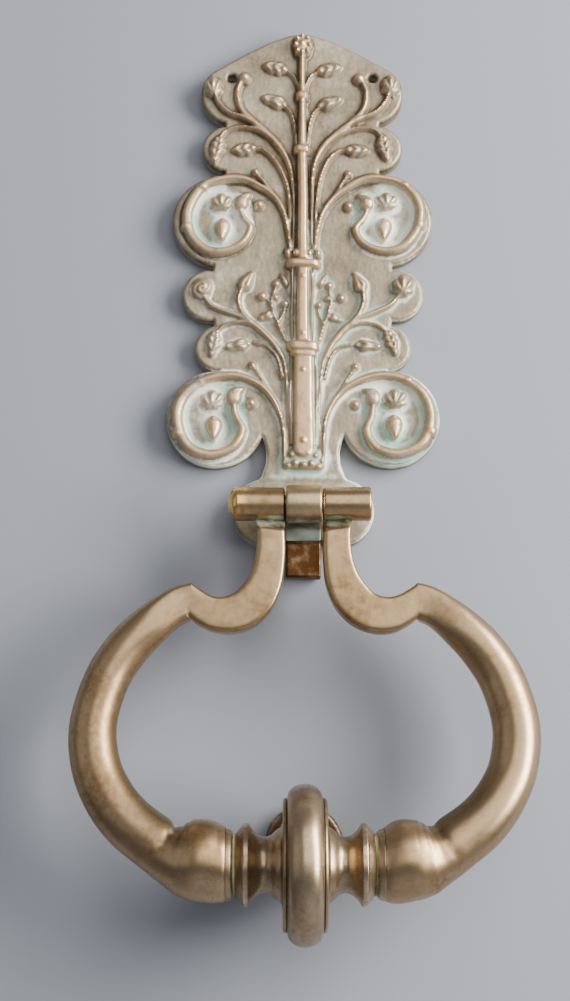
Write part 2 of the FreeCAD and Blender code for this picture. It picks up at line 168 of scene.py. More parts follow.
def distance_to_polygon(x, z, corners):
    """Signed distance to a closed polygon: the least distance to a side, negative
    where a ray to the right crosses an odd number of sides."""
    corners = np.asarray(corners, float)
    nearest = np.full(x.shape, np.inf)
    inside = np.zeros(x.shape, bool)
    for (ax, az), (bx, bz) in zip(corners, np.roll(corners, -1, axis=0)):
        side_x, side_z = bx - ax, bz - az
        along = ((x - ax) * side_x + (z - az) * side_z) / (side_x ** 2 + side_z ** 2)
        along = np.clip(along, 0, 1)
        gap = np.hypot(x - ax - along * side_x, z - az - along * side_z)
        nearest = np.minimum(nearest, gap)
        if side_z:
            crosses = (z < az) != (z < bz)
            inside ^= crosses & (x < ax + (z - az) * side_x / side_z)
    return np.where(inside, -nearest, nearest)


def plate_distance(x, z):
    """Signed distance to the plate's edge, the same on both sides of the centre."""
    across = np.abs(x)
    mirrored = [(-a, b) for a, b in CORE[::-1]]
    edge = distance_to_polygon(across, z, list(CORE) + mirrored[1:-1])
    for centre_x, centre_z, radius in LOBES:
        edge = np.minimum(edge, np.hypot(across - centre_x, z - centre_z) - radius)
    slot = np.maximum(across - SLOT_HALF_WIDTH, z - SLOT_TOP)
    return np.maximum(edge, -slot)


STEP = 0.33
plate_x, plate_z = np.meshgrid(np.arange(-40, 40 + STEP, STEP), np.arange(-10, 150, STEP))
print("plate grid", plate_x.shape, "inside", int((plate_distance(plate_x, plate_z) < 0).sum()))


# %% [markdown]
# ## The back plate: snapping the grid to the outline
# Cutting a square grid along a curved edge leaves steps like a staircase. Keeping the
# cells that lie inside, and then moving their outer points straight onto the edge,
# gives a smooth border. The way to the edge is the slope of the distance field.
# %% Snap the border
SLOPE_STEP = 0.05
SCREW_PLACE = (21.2, 134.2)
SCREW_RADIUS = 1.2


def pierced_distance(x, z):
    """The plate's distance field with the two screw holes taken out."""
    hole = SCREW_RADIUS - np.hypot(np.abs(x) - SCREW_PLACE[0], z - SCREW_PLACE[1])
    return np.maximum(plate_distance(x, z), hole)


inside = pierced_distance(plate_x, plate_z) < -0.3 * STEP
cells = inside[:-1, :-1] & inside[1:, :-1] & inside[:-1, 1:] & inside[1:, 1:]
touching = np.zeros(inside.shape, int)
for rows in (slice(0, -1), slice(1, None)):
    for columns in (slice(0, -1), slice(1, None)):
        touching[rows, columns] += cells
border = (touching > 0) & (touching < 4)
for _ in range(2):
    bx, bz = plate_x[border], plate_z[border]
    gap = pierced_distance(bx, bz)
    slope_x = pierced_distance(bx + SLOPE_STEP, bz) - gap
    slope_z = pierced_distance(bx, bz + SLOPE_STEP) - gap
    length = np.hypot(slope_x, slope_z) + 1e-9
    plate_x[border] = bx - gap * slope_x / length
    plate_z[border] = bz - gap * slope_z / length
plate_inset = np.maximum(-pierced_distance(plate_x, plate_z), 0)
print("border points", int(border.sum()))

# %% [markdown]
# ## The back plate: relief
# Cast relief is a height map: each spot on the plate has one height. Stems, leaves and
# flowers are each a small function that says how high the metal stands near it, and the
# highest one wins. A light blur at the end melts them together, as the caster's wax did.
# %% Relief helpers
relief = np.zeros(plate_x.shape)
# The carver's hand was not exact, so the mirrored halves wander a little.
wander = 0.35 * np.sin(plate_z / 9.0 + 1.3) + 0.25 * np.sin(plate_z / 4.1)
across = np.abs(plate_x + wander * np.clip(np.abs(plate_x) / 8.0, 0, 1))
height_along = plate_z + 0.3 * np.sin(plate_x / 7.0)


def raise_to(spots, height):
    """The relief at these spots is the higher of what is there and this height."""
    relief[spots] = np.maximum(relief[spots], height)


def near(low, high, side=0):
    """Spots of the grid in a box; side 1 or -1 keeps one half of the plate only."""
    spots = (across > low[0]) & (across < high[0])
    spots &= (height_along > low[1]) & (height_along < high[1])
    if side:
        spots &= plate_x * side > 0
    return spots


def stem(stations, groove=0.0, flat=0.0, side=0):
    """Raised stem through stations (x, z, half width, height). With t the distance
    from its line over its half width, the height is 1.12 h * sqrt(1 - t^2), less a groove
    h * groove * exp(-(t / 0.3)^2); flat mixes in a square top, h * (1 - t^8)."""
    stations = np.asarray(stations, float)
    reach = np.hypot(*np.diff(stations[:, :2], axis=0).T).sum()
    line = smooth_line(stations, max(int(reach / 0.22), 8))
    margin = line[:, 2].max() + STEP
    spots = near(line[:, :2].min(0) - margin, line[:, :2].max(0) + margin, side)
    gap = np.hypot(across[spots][:, None] - line[:, 0],
                   height_along[spots][:, None] - line[:, 1]) / line[:, 2]
    nearest = gap.argmin(1)
    t = np.clip(gap.min(1), 0, 1)
    shape = (1 - flat) * np.sqrt(1 - t ** 2) + flat * (1 - t ** 8)
    shape -= groove * np.exp(-(t / 0.3) ** 2)
    raise_to(spots, 1.12 * line[nearest, 3] * np.where(t < 1, shape, 0))


def local(x, z, half_length, half_width, turn, side=0):
    """Spots near (x, z), with u along a shape turned from +X towards +Z and v across
    it, both in halves of its size."""
    size = 1.3 * max(half_length, half_width)
    spots = near((x - size, z - size), (x + size, z + size), side)
    dx, dz = across[spots] - x, height_along[spots] - z
    c, s = math.cos(math.radians(turn)), math.sin(math.radians(turn))
    return spots, (dx * c + dz * s) / half_length, (dz * c - dx * s) / half_width


def knob(x, z, half_width, half_height, height, power=2.0, side=0):
    """Rounded lump: h * sqrt(1 - |u|^p - |v|^p); p of 2 is a bead, 5 nearly a block."""
    spots, u, v = local(x, z, half_width, half_height, 0, side)
    rest = 1 - np.abs(u) ** power - np.abs(v) ** power
    raise_to(spots, height * np.sqrt(np.clip(rest, 0, 1)))


def leaf(x, z, length, width, turn, folds, height, side=0):
    """Leaf from its stalk at u = -1 to its tip at u = 1. Its half width is
    (1 - u^2)^0.7 * (1 - 0.3 u), scalloped by the folds; its height is an arch across,
    with a ripple that runs back from the midrib, cos(pi * folds * (u + 0.5 |v|))."""
    spots, u, v = local(x, z, length / 2, width / 2, turn, side)
    fold = np.cos(math.pi * folds * (u + 0.5 * np.abs(v)))
    wide = np.clip(1 - u ** 2, 0, 1) ** 0.7 * (1 - 0.3 * u) * (1 + 0.09 * fold) + 1e-6
    t = np.abs(v) / wide
    arch = np.sqrt(np.clip(1 - t ** 2, 0, 1))
    midrib = 1 - 0.3 * np.exp(-(v / 0.16) ** 2)
    raise_to(spots, height * arch * (0.84 + 0.16 * fold) * midrib)


def flower(x, z, radius, petals, height, twist=0.0, tall=1.0, side=0, root=0.0):
    """Open flower: its edge is radius * (0.86 + 0.14 c) and its height
    h * sqrt(1 - r^2) * (0.66 + 0.34 c), where c is |cos(petals * angle / 2 + twist r)|.
    A twist turns the petals into a spiral. The petals spread from the root, which may
    lie below the middle, as in a flower that is seen from its side."""
    spots, u, v = local(x, z, radius, radius * tall, 0, side)
    r, angle = np.hypot(u, v), np.arctan2(v + root, u) - math.pi / 2
    c = np.abs(np.cos(petals * angle / 2 + twist * r))
    r = r / (0.86 + 0.14 * c)
    raise_to(spots, height * np.sqrt(np.clip(1 - r ** 2, 0, 1)) * (0.66 + 0.34 * c))


def acorn(x, z, half_width, half_height, height):
    """Bud with a pointed lower end: its half width is sqrt(1 - v^2) * (1 + 0.35 v)
    for v from -1 at the point to 1 at the cup."""
    spots, u, v = local(x, z, half_width, half_height, 0)
    wide = np.clip(1 - v ** 2, 0, 1) ** 0.6 * (1 + 0.35 * v) + 1e-6
    t = np.abs(u) / wide
    raise_to(spots, height * np.sqrt(np.clip(1 - t ** 2, 0, 1)) * (1 - 0.12 * (v > 0.55)))


# %% [markdown]
# ## The back plate: the tree
# The trunk climbs the middle in three lengths, parted by a capital and a collar. Stems
# leave it in pairs. Each pair is one list of stations, because the distance across is
# measured without its sign, so every call carves both sides at once.
# %% Trunk
for bottom, top, low_width, high_width, tall in (
        (19.0, 48.0, 3.5, 3.2, 2.7), (50.0, 73.5, 2.1, 1.9, 2.7), (76.0, 110.0, 1.7, 1.45, 2.6),
        (111.0, 127.0, 1.25, 1.0, 2.5), (127.0, 142.5, 1.0, 0.8, 2.2)):
    stem([(0, bottom, low_width, tall), (0, (bottom + top) / 2, (low_width + high_width) / 2, tall),
          (0, top, high_width, tall)], flat=0.85)
for z, half_width, half_height, tall in (
        (49.2, 4.9, 1.9, 3.7), (46.9, 4.2, 0.9, 3.3), (74.4, 5.2, 1.6, 3.7), (110.2, 2.5, 1.5, 3.4),
        (127.5, 1.9, 1.5, 3.1)):
    knob(0, z, half_width, half_height, tall, power=5)
for z, size in ((42.0, 1.1), (21.2, 1.7), (70.3, 0.9), (53.0, 0.9)):
    knob(0, z, size, size, 3.6)
for x in (2.0, 4.4):
    knob(x, 77.6, 1.0, 1.5, 3.0, power=3)
stem([(2.9, 51.0, 0.42, 1.9), (2.9, 62.0, 0.42, 2.0), (3.0, 72.5, 0.5, 2.2)])
stem([(3.6, 20.0, 0.45, 2.0), (3.75, 33.0, 0.45, 2.2), (3.6, 46.0, 0.45, 2.2)])
for x, z, size, tall in ((1.2, 17.6, 1.5, 3.2), (3.4, 17.0, 1.3, 2.8), (5.2, 15.6, 1.0, 2.2),
                         (2.3, 14.6, 1.5, 2.9), (0.2, 14.2, 1.3, 3.0), (4.3, 13.8, 1.3, 2.4)):
    knob(x, z, size, size * 0.85, tall)
knob(0, 14.2, 6.2, 1.6, 2.0, power=4)
knob(0, 17.0, 5.2, 2.4, 2.3, power=4)
print("trunk carved, up to", round(float(relief.max()), 2), "mm above the ground")

# %% [markdown]
# ## The back plate: scrolls and stems
# A scroll is one long stem that rises beside the trunk, swings out and curls back in.
# Each station says where the stem passes, how wide it is there and how high it stands,
# so a stem can start as thin as a stalk and swell towards its end. Two of the branches
# have a groove along their middle, which makes them look like a pair of stems.
# %% Scrolls and stems
LOWER_SCROLL = [
    (5.6, 14.5, 0.55, 1.7), (5.6, 21.0, 0.6, 1.8), (6.4, 28.0, 0.75, 1.9), (9.4, 34.3, 0.95, 2.0),
    (14.0, 38.4, 1.2, 2.1), (20.8, 40.6, 1.45, 2.2), (28.2, 39.5, 1.6, 2.3), (34.3, 34.6, 1.75, 2.4),
    (36.1, 27.6, 1.8, 2.4), (33.4, 20.4, 1.8, 2.4), (26.9, 17.4, 1.75, 2.4), (20.6, 19.4, 1.6, 2.3),
    (17.9, 24.4, 1.45, 2.3), (19.4, 28.6, 1.2, 2.2), (19.9, 31.5, 1.0, 2.2)]
UPPER_SCROLL = [
    (3.4, 78.6, 0.5, 1.6), (4.2, 84.0, 0.55, 1.7), (5.6, 90.2, 0.65, 1.8), (8.4, 95.0, 0.8, 1.9),
    (12.6, 98.4, 1.0, 2.0), (17.6, 101.0, 1.25, 2.1), (23.8, 101.2, 1.45, 2.2), (30.0, 98.6, 1.6, 2.3),
    (33.9, 92.0, 1.7, 2.3), (33.2, 85.0, 1.7, 2.3), (29.0, 79.6, 1.65, 2.3), (23.2, 78.6, 1.5, 2.2),
    (17.8, 81.2, 1.4, 2.2), (15.6, 85.6, 1.25, 2.2), (17.6, 88.8, 1.1, 2.1), (18.6, 91.0, 0.95, 2.1)]
stem(LOWER_SCROLL, flat=0.35)
stem(UPPER_SCROLL, flat=0.35)
STEMS = (
    # lower branch to the spiral flower, and its shoot to the pointed leaf
    ([(4.6, 16.0, 0.5, 1.7), (4.6, 30.0, 0.5, 1.8), (4.9, 40.0, 0.6, 1.9), (6.4, 47.0, 0.8, 2.0),
      (10.4, 52.6, 1.0, 2.1), (15.6, 57.4, 1.05, 2.1), (20.8, 59.6, 0.85, 2.0), (25.6, 61.8, 0.7, 1.9),
      (28.2, 64.6, 0.6, 1.8)], 0.25),
    ([(14.6, 56.6, 0.9, 2.0), (17.3, 60.2, 0.8, 2.0), (18.2, 64.0, 0.75, 2.0),
      (17.4, 67.4, 0.9, 2.1)], 0.0),
    # arch over the hanging leaf, and the stalk of the small leaf
    ([(6.6, 46.4, 0.6, 1.8), (9.4, 51.0, 0.6, 1.8), (13.4, 55.2, 0.65, 1.8), (18.0, 56.7, 0.6, 1.8),
      (22.0, 56.0, 0.55, 1.7), (24.6, 53.8, 0.5, 1.6)], 0.0),
    ([(6.0, 40.0, 0.45, 1.6), (7.4, 45.4, 0.5, 1.7), (10.2, 49.2, 0.5, 1.7),
      (14.0, 50.4, 0.45, 1.6)], 0.0),
    ([(10.0, 35.6, 0.5, 1.5), (12.3, 39.6, 0.5, 1.6), (14.4, 42.8, 0.55, 1.7)], 0.0),
    # spray of berries beside the trunk
    ([(4.7, 50.6, 0.35, 1.4), (6.2, 55.0, 0.38, 1.5), (8.0, 60.0, 0.38, 1.5),
      (8.8, 64.2, 0.32, 1.4)], 0.0),
    ([(8.3, 61.0, 0.3, 1.3), (9.6, 63.2, 0.3, 1.3), (11.2, 64.2, 0.3, 1.3)], 0.0),
    ([(6.6, 56.4, 0.3, 1.3), (5.2, 59.4, 0.3, 1.3), (4.8, 61.6, 0.3, 1.3)], 0.0),
    ([(8.8, 63.6, 0.3, 1.3), (8.0, 66.4, 0.3, 1.3), (7.7, 68.0, 0.3, 1.3)], 0.0),
    # upper branch to the curled bud, its shoot to the bell flower and its arch
    ([(2.7, 79.0, 0.42, 1.6), (2.7, 95.0, 0.45, 1.7), (3.5, 104.6, 0.6, 1.8), (6.4, 111.4, 0.85, 2.0),
      (11.0, 116.2, 1.0, 2.1), (14.9, 119.6, 1.0, 2.1), (18.3, 123.6, 0.85, 2.0),
      (19.3, 128.8, 0.75, 2.0),
      (18.2, 132.6, 0.75, 1.9)], 0.25),
    ([(13.6, 118.4, 0.7, 1.9), (18.2, 121.0, 0.7, 1.9), (22.0, 122.6, 0.7, 1.9), (24.8, 125.6, 0.65, 1.9),
      (26.2, 128.8, 0.6, 1.9)], 0.0),
    ([(5.0, 108.8, 0.5, 1.7), (9.0, 113.8, 0.55, 1.8), (14.0, 117.0, 0.55, 1.8), (19.0, 117.8, 0.5, 1.7),
      (22.4, 116.6, 0.45, 1.6), (24.0, 114.6, 0.45, 1.6)], 0.0),
    ([(3.9, 79.0, 0.4, 1.5), (3.9, 92.0, 0.42, 1.6), (4.9, 100.0, 0.45, 1.7), (7.6, 106.6, 0.5, 1.7),
      (11.0, 110.2, 0.5, 1.7), (13.6, 110.9, 0.45, 1.6)], 0.0),
    ([(8.6, 95.4, 0.45, 1.5), (11.0, 99.2, 0.48, 1.6), (13.3, 102.4, 0.5, 1.7)], 0.0),
    # two pairs of leaf stalks at the top
    ([(1.6, 111.5, 0.35, 1.5), (2.2, 118.0, 0.38, 1.6), (3.4, 122.4, 0.38, 1.6),
      (5.4, 124.6, 0.38, 1.5)], 0.0),
    ([(0.9, 129.4, 0.35, 1.5), (1.6, 132.4, 0.38, 1.6), (3.0, 134.8, 0.38, 1.6),
      (5.0, 136.0, 0.38, 1.5)], 0.0),
)
for stations, groove in STEMS:
    stem(stations, groove)
print("stems carved on each side:", len(STEMS) + 2)

# %% [markdown]
# ## The back plate: leaves, flowers and berries
# The tree carries a few kinds of small shape over and over: folded leaves, round
# berries, blocks where a scroll ends, acorns and open flowers. Each kind is a list of
# places and sizes for one carving function. The only shapes that differ from left to
# right are the two flowers in the middle, a spiral on the left and a fan on the right.
# %% Leaves, flowers and berries
for x, z, length, width, turn, folds, tall in (
        (25.7, 50.6, 8.2, 4.0, -75, 4, 2.5), (18.9, 49.8, 7.8, 3.6, -6, 2, 2.4),
        (16.3, 69.0, 7.4, 3.8, 118, 1, 2.7),
        (24.9, 111.0, 8.6, 4.2, -78, 4, 2.5), (17.0, 110.6, 7.4, 3.6, -4, 3, 2.4),
        (8.4, 126.0, 7.8, 3.9, 20, 2, 2.4),
        (8.3, 136.9, 7.8, 3.9, 12, 3, 2.4), (9.9, 58.4, 4.8, 2.8, -20, 2, 1.9),
        (5.6, 69.6, 4.8, 1.8, 62, 1, 1.8),
        (19.2, 35.6, 5.2, 3.6, 150, 1, 2.8), (17.6, 95.0, 5.0, 3.4, 146, 1, 2.8)):
    leaf(x, z, length, width, turn, folds, tall)
for x, z, size, tall in (
        (14.9, 32.2, 1.6, 2.3), (13.2, 92.8, 1.5, 2.2), (11.5, 64.4, 1.35, 1.9), (7.7, 68.3, 1.2, 1.7),
        (4.9, 62.2, 1.15, 1.8), (7.6, 64.2, 1.0, 1.6), (14.8, 43.5, 1.1, 2.2), (13.7, 103.1, 1.1, 2.2),
        (17.2, 133.5, 1.8, 2.6)):
    knob(x, z, size, size, tall)
for x, z, half_width, half_height, tall in (
        (20.0, 34.0, 2.5, 2.8, 3.0), (18.5, 93.5, 2.4, 2.7, 3.0), (29.6, 38.8, 1.9, 1.7, 2.8),
        (35.9, 23.8, 2.1, 2.0, 2.9), (29.8, 98.7, 1.9, 1.6, 2.8), (33.9, 86.4, 2.0, 1.9, 2.8)):
    knob(x, z, half_width, half_height, tall, power=2.4)
for x, z in ((25.8, 25.2), (23.7, 85.2)):
    acorn(x, z, 2.6, 3.7, 3.1)
flower(26.2, 33.6, 4.0, 10, 3.1, tall=0.85, root=0.7)
flower(24.4, 94.0, 3.8, 10, 3.1, tall=0.85, root=0.7)
flower(26.6, 131.0, 2.9, 12, 3.1, tall=1.25, root=0.9)
flower(29.2, 67.4, 3.4, 2, 3.0, twist=7.0, side=-1)
flower(29.2, 67.4, 3.4, 9, 3.1, tall=1.1, side=1, root=0.6)
knob(0.0, 143.9, 2.8, 4.0, 2.9)
for x, z in ((0.0, 147.0), (1.6, 146.1), (2.1, 144.0), (1.5, 142.0), (0.0, 144.3), (0.0, 141.6)):
    knob(x, z, 0.85, 1.1, 3.6)
for x, z in ((26.0, 33.0), (24.3, 93.4), (29.2, 67.4)):
    knob(x, z, 1.1, 0.9, 2.9)
print("relief stands up to", round(float(relief.max()), 2), "mm above the ground")

# %% [markdown]
# ## The back plate: from height map to metal
# The ground sinks a little inside the scrolls and rolls over at the plate's edge, and it
# is finely brushed where the mould was dressed. Each spot's height over its surroundings
# is kept as a value: high spots wear bright, and low spots collect green corrosion and
# are painted darker, as painted shade.
# %% Heights and values
GROUND = 3.9
EDGE_ROUNDING = 1.0
BOSS_RISE = 1.0


def blur(field, steps):
    """Mean of each spot and its neighbours, 1-2-1 each way, repeated."""
    for _ in range(steps):
        padded = np.pad(field, 1, mode="edge")
        field = (padded[:-2, 1:-1] + 2 * padded[1:-1, 1:-1] + padded[2:, 1:-1]) / 4
        padded = np.pad(field, 1, mode="edge")
        field = (padded[1:-1, :-2] + 2 * padded[1:-1, 1:-1] + padded[1:-1, 2:]) / 4
    return field


def soft_step(value, low, high):
    """0 below low, 1 above high, and 3 t^2 - 2 t^3 between them."""
    t = np.clip((value - low) / (high - low), 0, 1)
    return t * t * (3 - 2 * t)


rng = np.random.default_rng(7)
brushed = blur(rng.normal(size=plate_x.shape), 1)
for _ in range(3):
    padded = np.pad(brushed, ((1, 1), (0, 0)), mode="edge")
    brushed = (padded[:-2] + padded[1:-1] + padded[2:]) / 3
lumps = blur(rng.normal(size=plate_x.shape), 24)
lumps /= np.abs(lumps).max()
in_scrolls = np.zeros(plate_x.shape)
for centre_x, centre_z, radius in ((24.2, 89.6, 10.0), (26.0, 28.8, 10.0)):
    gap = np.hypot(np.abs(plate_x) - centre_x, plate_z - centre_z)
    in_scrolls = np.maximum(in_scrolls, 1 - soft_step(gap, radius - 1.5, radius + 1.0))
boss = 1 - soft_step(plate_z, 8.5, 11.5)
rounding = np.clip(1 - plate_inset / EDGE_ROUNDING, 0, 1)
edge_drop = EDGE_ROUNDING * (1 - np.sqrt(1 - rounding ** 2)) * 0.85
height = GROUND + blur(relief, 1) - 0.35 * in_scrolls + BOSS_RISE * boss
height += 0.16 * lumps + 0.07 * brushed * (relief < 0.4) - edge_drop
around = blur(height, 14)
crest = np.clip((height - around) / 1.1, 0, 1)
crest = np.maximum(crest, 0.8 * soft_step(blur(relief, 1), 2.3, 2.8))
hollow = np.clip((around - height) / 0.55, 0, 1)
foot_of_tree = soft_step(plate_z, 5.0, 10.0) * (1 - soft_step(plate_z, 14.0, 20.0))
lower_half = 1 - soft_step(plate_z, 60.0, 100.0)
# The 0.08 * sign(x) term gives the right half more pale green than the left: painted light, for the light
# that falls from the right.
green = np.clip(0.20 + 0.80 * in_scrolls + 0.38 * lower_half + 0.7 * foot_of_tree
                + 0.08 * np.sign(plate_x), 0, 1)
print("plate stands", round(float(height[touching > 0].max()), 2), "mm out at the most")

# %% [markdown]
# ## The back plate: mesh
# The kept cells of the grid become the front. A side that belongs to one face only lies
# on the edge, so those sides are copied onto the flat back and joined to the front by a
# rim. The back needs no detail, so each row of cells is closed by a long strip, or by
# several where a notch or a hole parts the row. Its corners are the row's edge points.
# %% Plate mesh
number = -np.ones(plate_x.shape, int)
used = touching > 0
number[used] = np.arange(used.sum())
corners = (number[:-1, :-1], number[:-1, 1:], number[1:, 1:], number[1:, :-1])
front_faces = np.stack(corners, -1)[cells]
front = np.stack([plate_x[used], -height[used], plate_z[used]], -1)
sides = np.concatenate([front_faces[:, [i, (i + 1) % 4]] for i in range(4)])
key = sides.min(1) * len(front) + sides.max(1)
_, where, count = np.unique(key, return_index=True, return_counts=True)
rim = sides[where[count == 1]]
rim_points, inverse = np.unique(rim, return_inverse=True)
back = front[rim_points] * (1, 0, 1)
back_number = len(front) + inverse.reshape(rim.shape)
rim_faces = np.stack([rim[:, 1], rim[:, 0], back_number[:, 0], back_number[:, 1]], -1)
behind = -np.ones(len(front), int)
behind[rim_points] = len(front) + np.arange(len(rim_points))
strips = []
for row, filled in enumerate(cells):
    ends = np.flatnonzero(np.diff(np.pad(filled.astype(int), 1))).reshape(-1, 2)
    for start, stop in ends:
        lower = behind[number[row, start:stop + 1]]
        upper = behind[number[row + 1, start:stop + 1]][::-1]
        strips.append(np.concatenate([lower[lower >= 0], upper[upper >= 0]]).tolist())
print("flat back made of", len(strips), "strips on", len(back), "points")
points = np.concatenate([front, back])
values = {
    "crest": np.concatenate([crest[used], np.zeros(len(back))]),
    "hollow": np.concatenate([hollow[used], np.zeros(len(back))]),
    "green": np.concatenate([green[used], np.full(len(back), 0.2)]),
}
plate_faces = np.concatenate([front_faces, rim_faces]).tolist() + strips
new_piece("plate_casting", points, plate_faces, "backplate", "door_side",
          values, hard_angle=60)


# %% [markdown]
# ## Turned and drawn-out shells
# Everything else is a tube of some kind: rows of rings, each ring a section of the
# piece. A turned part's rings are circles about one axis, and a bar's rings follow a
# line. Each end is closed by a single point or by one flat face, or the last ring joins
# the first to make a sleeve.
# %% Tube helpers
def tube(rings, ends="points"):
    """Points and faces of rings (rows, columns, 3). Each end closes on a point in its
    middle, or is one flat face, or the last ring is joined to the first."""
    rows, columns = rings.shape[:2]
    points = rings.reshape(-1, 3)
    if ends == "joined":
        return points, (grid_faces(rows + 1, columns) % (rows * columns)).tolist()
    around = np.arange(columns)
    last = (rows - 1) * columns
    if ends == "flat":
        flat_ends = [around[::-1].tolist(), (last + around).tolist()]
        return points, grid_faces(rows, columns).tolist() + flat_ends
    following = (around + 1) % columns
    start, end = np.full(columns, len(points)), np.full(columns, len(points) + 1)
    fans = np.concatenate([np.stack([start, following, around], -1),
                           np.stack([end, last + around, last + following], -1)])
    points = np.vstack([points, rings[0].mean(0), rings[-1].mean(0)])
    return points, grid_faces(rows, columns).tolist() + fans.tolist()


def turned(profile, depth, z, side=1, columns=120, ends="points"):
    """Surface of revolution about a line along X: each (x, r) of the profile becomes
    the circle (side * x, depth + r * cos(angle), z + r * sin(angle))."""
    profile = np.asarray(profile, float)
    angle = np.linspace(0, 2 * math.pi, columns, endpoint=False)
    rings = np.empty((len(profile), columns, 3))
    rings[..., 0] = side * profile[:, :1]
    rings[..., 1] = depth + profile[:, 1:2] * np.cos(angle)
    rings[..., 2] = z + profile[:, 1:2] * np.sin(angle)
    return tube(rings, ends)


def rounded_corners(corners, radius, steps=5):
    """Profile with each inner corner cut back by radius and rounded: a quadratic Bezier
    curve from one cut to the other with the corner as its middle point."""
    corners = np.asarray(corners, float)
    line = [corners[:1]]
    for before, corner, after in zip(corners[:-2], corners[1:-1], corners[2:]):
        into, out = before - corner, after - corner
        reach = min(radius, np.hypot(*into) / 2.2, np.hypot(*out) / 2.2)
        start = corner + into / np.hypot(*into) * reach
        end = corner + out / np.hypot(*out) * reach
        t = np.linspace(0, 1, steps)[:, None]
        line.append((1 - t) ** 2 * start + 2 * t * (1 - t) * corner + t ** 2 * end)
    line.append(corners[-1:])
    return np.concatenate(line)


def arc(centre, radius, start, end, steps):
    """Points of a circle's arc between two angles in degrees."""
    angle = np.radians(np.linspace(start, end, steps))
    return np.stack([centre[0] + radius * np.cos(angle), centre[1] + radius * np.sin(angle)], -1)


# %% [markdown]
# ## Hinge lug
# The lug is the fixed half of the hinge: a knuckle that the pin runs through, on a web
# that leans back to a foot let into the plate. Its side outline is carried across X,
# and drawn in a little towards both faces, so that its edges are rounded like a casting.
# %% Lug
LUG_HALF_WIDTH = 4.9
KNUCKLE_RADIUS = 5.2
KNUCKLE_BORE = 2.45
front_of_knuckle = arc((-HINGE_DEPTH, 0), KNUCKLE_RADIUS - 1.4, 88, 262, 26)
lug_outline = np.concatenate([
    rounded_corners([(0, 2), (0, 6), (-4.2, 6), (-9.0, 4.6), tuple(front_of_knuckle[0])], 1.0),
    front_of_knuckle[1:-1],
    rounded_corners([tuple(front_of_knuckle[-1]), (-9.5, -5.4), (-4.8, -8.0), (-4.8, -18),
                     (0, -18), (0, 2)], 0.8)[:-1],
])
before = np.roll(lug_outline, 1, axis=0)
after = np.roll(lug_outline, -1, axis=0)
tangent = after - before
tangent /= np.hypot(*tangent.T)[:, None]
inwards = np.stack([tangent[:, 1], -tangent[:, 0]], -1)
if (lug_outline + inwards * 0.1)[:, 0].max() > 0.05:
    inwards = -inwards
turn = np.radians(np.linspace(0, 90, 6))
stations = [(-LUG_HALF_WIDTH + 0.5 * (1 - math.sin(t)), 0.5 * (1 - math.cos(t))) for t in turn[::-1]]
stations += [(x, 0.0) for x in np.linspace(-4.2, 4.2, 9)]
stations += [(-x, inset) for x, inset in stations[5::-1]]
rings = np.empty((len(stations), len(lug_outline), 3))
for row, (x, inset) in enumerate(stations):
    rings[row, :, 0] = x
    rings[row, :, 1:] = lug_outline + inwards * inset
web_points, web_faces = tube(rings, ends="flat")
knuckle_profile = rounded_corners([
    (0, KNUCKLE_RADIUS), (LUG_HALF_WIDTH, KNUCKLE_RADIUS), (LUG_HALF_WIDTH, KNUCKLE_BORE),
    (0, KNUCKLE_BORE)], 0.7)
knuckle_profile = np.vstack([knuckle_profile, knuckle_profile[-2:0:-1] * (-1, 1)])
knuckle_points, knuckle_faces = turned(knuckle_profile, -HINGE_DEPTH, 0, ends="joined")


def lug_values(points):
    """Green under the web and just above the knuckle, worn on the knuckle's front."""
    out = -points[:, 1]
    below = 1 - soft_step(points[:, 2], -6.5, -1.5)
    above = soft_step(points[:, 2], 2.5, 5.0) * (1 - soft_step(out, 16, 20))
    # The web's underside and the foot get high hollow values, which paint them dark: painted shadow under
    # the knuckle.
    foot = (1 - soft_step(points[:, 2], -8.0, -7.0)) * (out < 5.2)
    return {"crest": soft_step(out, 21.0, 24.0) * 0.6,
            "hollow": np.clip(0.9 * below * (out > 5.2) + above + 0.9 * foot, 0, 1),
            "green": np.clip(0.7 * below * (out > 5.2) + 0.9 * above, 0, 1)}


points, faces, values = join_shells((web_points, web_faces, lug_values(web_points)),
                                    (knuckle_points, knuckle_faces, lug_values(knuckle_points)))
new_piece("hinge_lug_casting", points, faces, "hinge_lug", "door_side", values)

# %% [markdown]
# ## Strike plate
# The striker lands on a disc on the door. It is turned about an axis along Y, so its
# profile is spun there instead: a flat face, a rounded edge and a shallow worn dish.
# %% Disc
plate_low, plate_high = (np.array(corner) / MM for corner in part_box("strike_plate"))
disc_radius = (plate_high[0] - plate_low[0]) / 2
disc_z = (plate_low[2] + plate_high[2]) / 2
disc_depth = -plate_low[1]
disc_profile = np.array([(0.02, 0.0), (disc_radius - 0.2, 0.0), (disc_radius, 0.2)])
disc_profile = np.vstack([disc_profile, arc((disc_radius - 1.3, disc_depth - 1.3), 1.3, 0, 90, 9),
                          [(radius, disc_depth - 0.25 * math.exp(-(radius / 5) ** 4))
                           for radius in np.linspace(disc_radius - 2.0, 0.3, 14)]])
angle = np.linspace(0, 2 * math.pi, 120, endpoint=False)
rings = np.empty((len(disc_profile), 120, 3))
rings[..., 0] = disc_profile[:, :1] * np.cos(angle)
rings[..., 1] = -disc_profile[:, 1:2]
rings[..., 2] = disc_z + disc_profile[:, :1] * np.sin(angle)
points, faces = tube(rings)
ring_radius = np.hypot(points[:, 0], points[:, 2] - disc_z)
# The middle of the disc gets a hollow value, which paints it darker: painted shadow of the striker in
# front of it.
new_piece("strike_disc", points, faces, "strike_plate", "door_side", {
    "crest": soft_step(ring_radius, disc_radius - 1.6, disc_radius - 0.6) * 0.5,
    "hollow": 0.4 * (1 - soft_step(ring_radius, 4, 9)), "green": np.full(len(points), 0.25)})

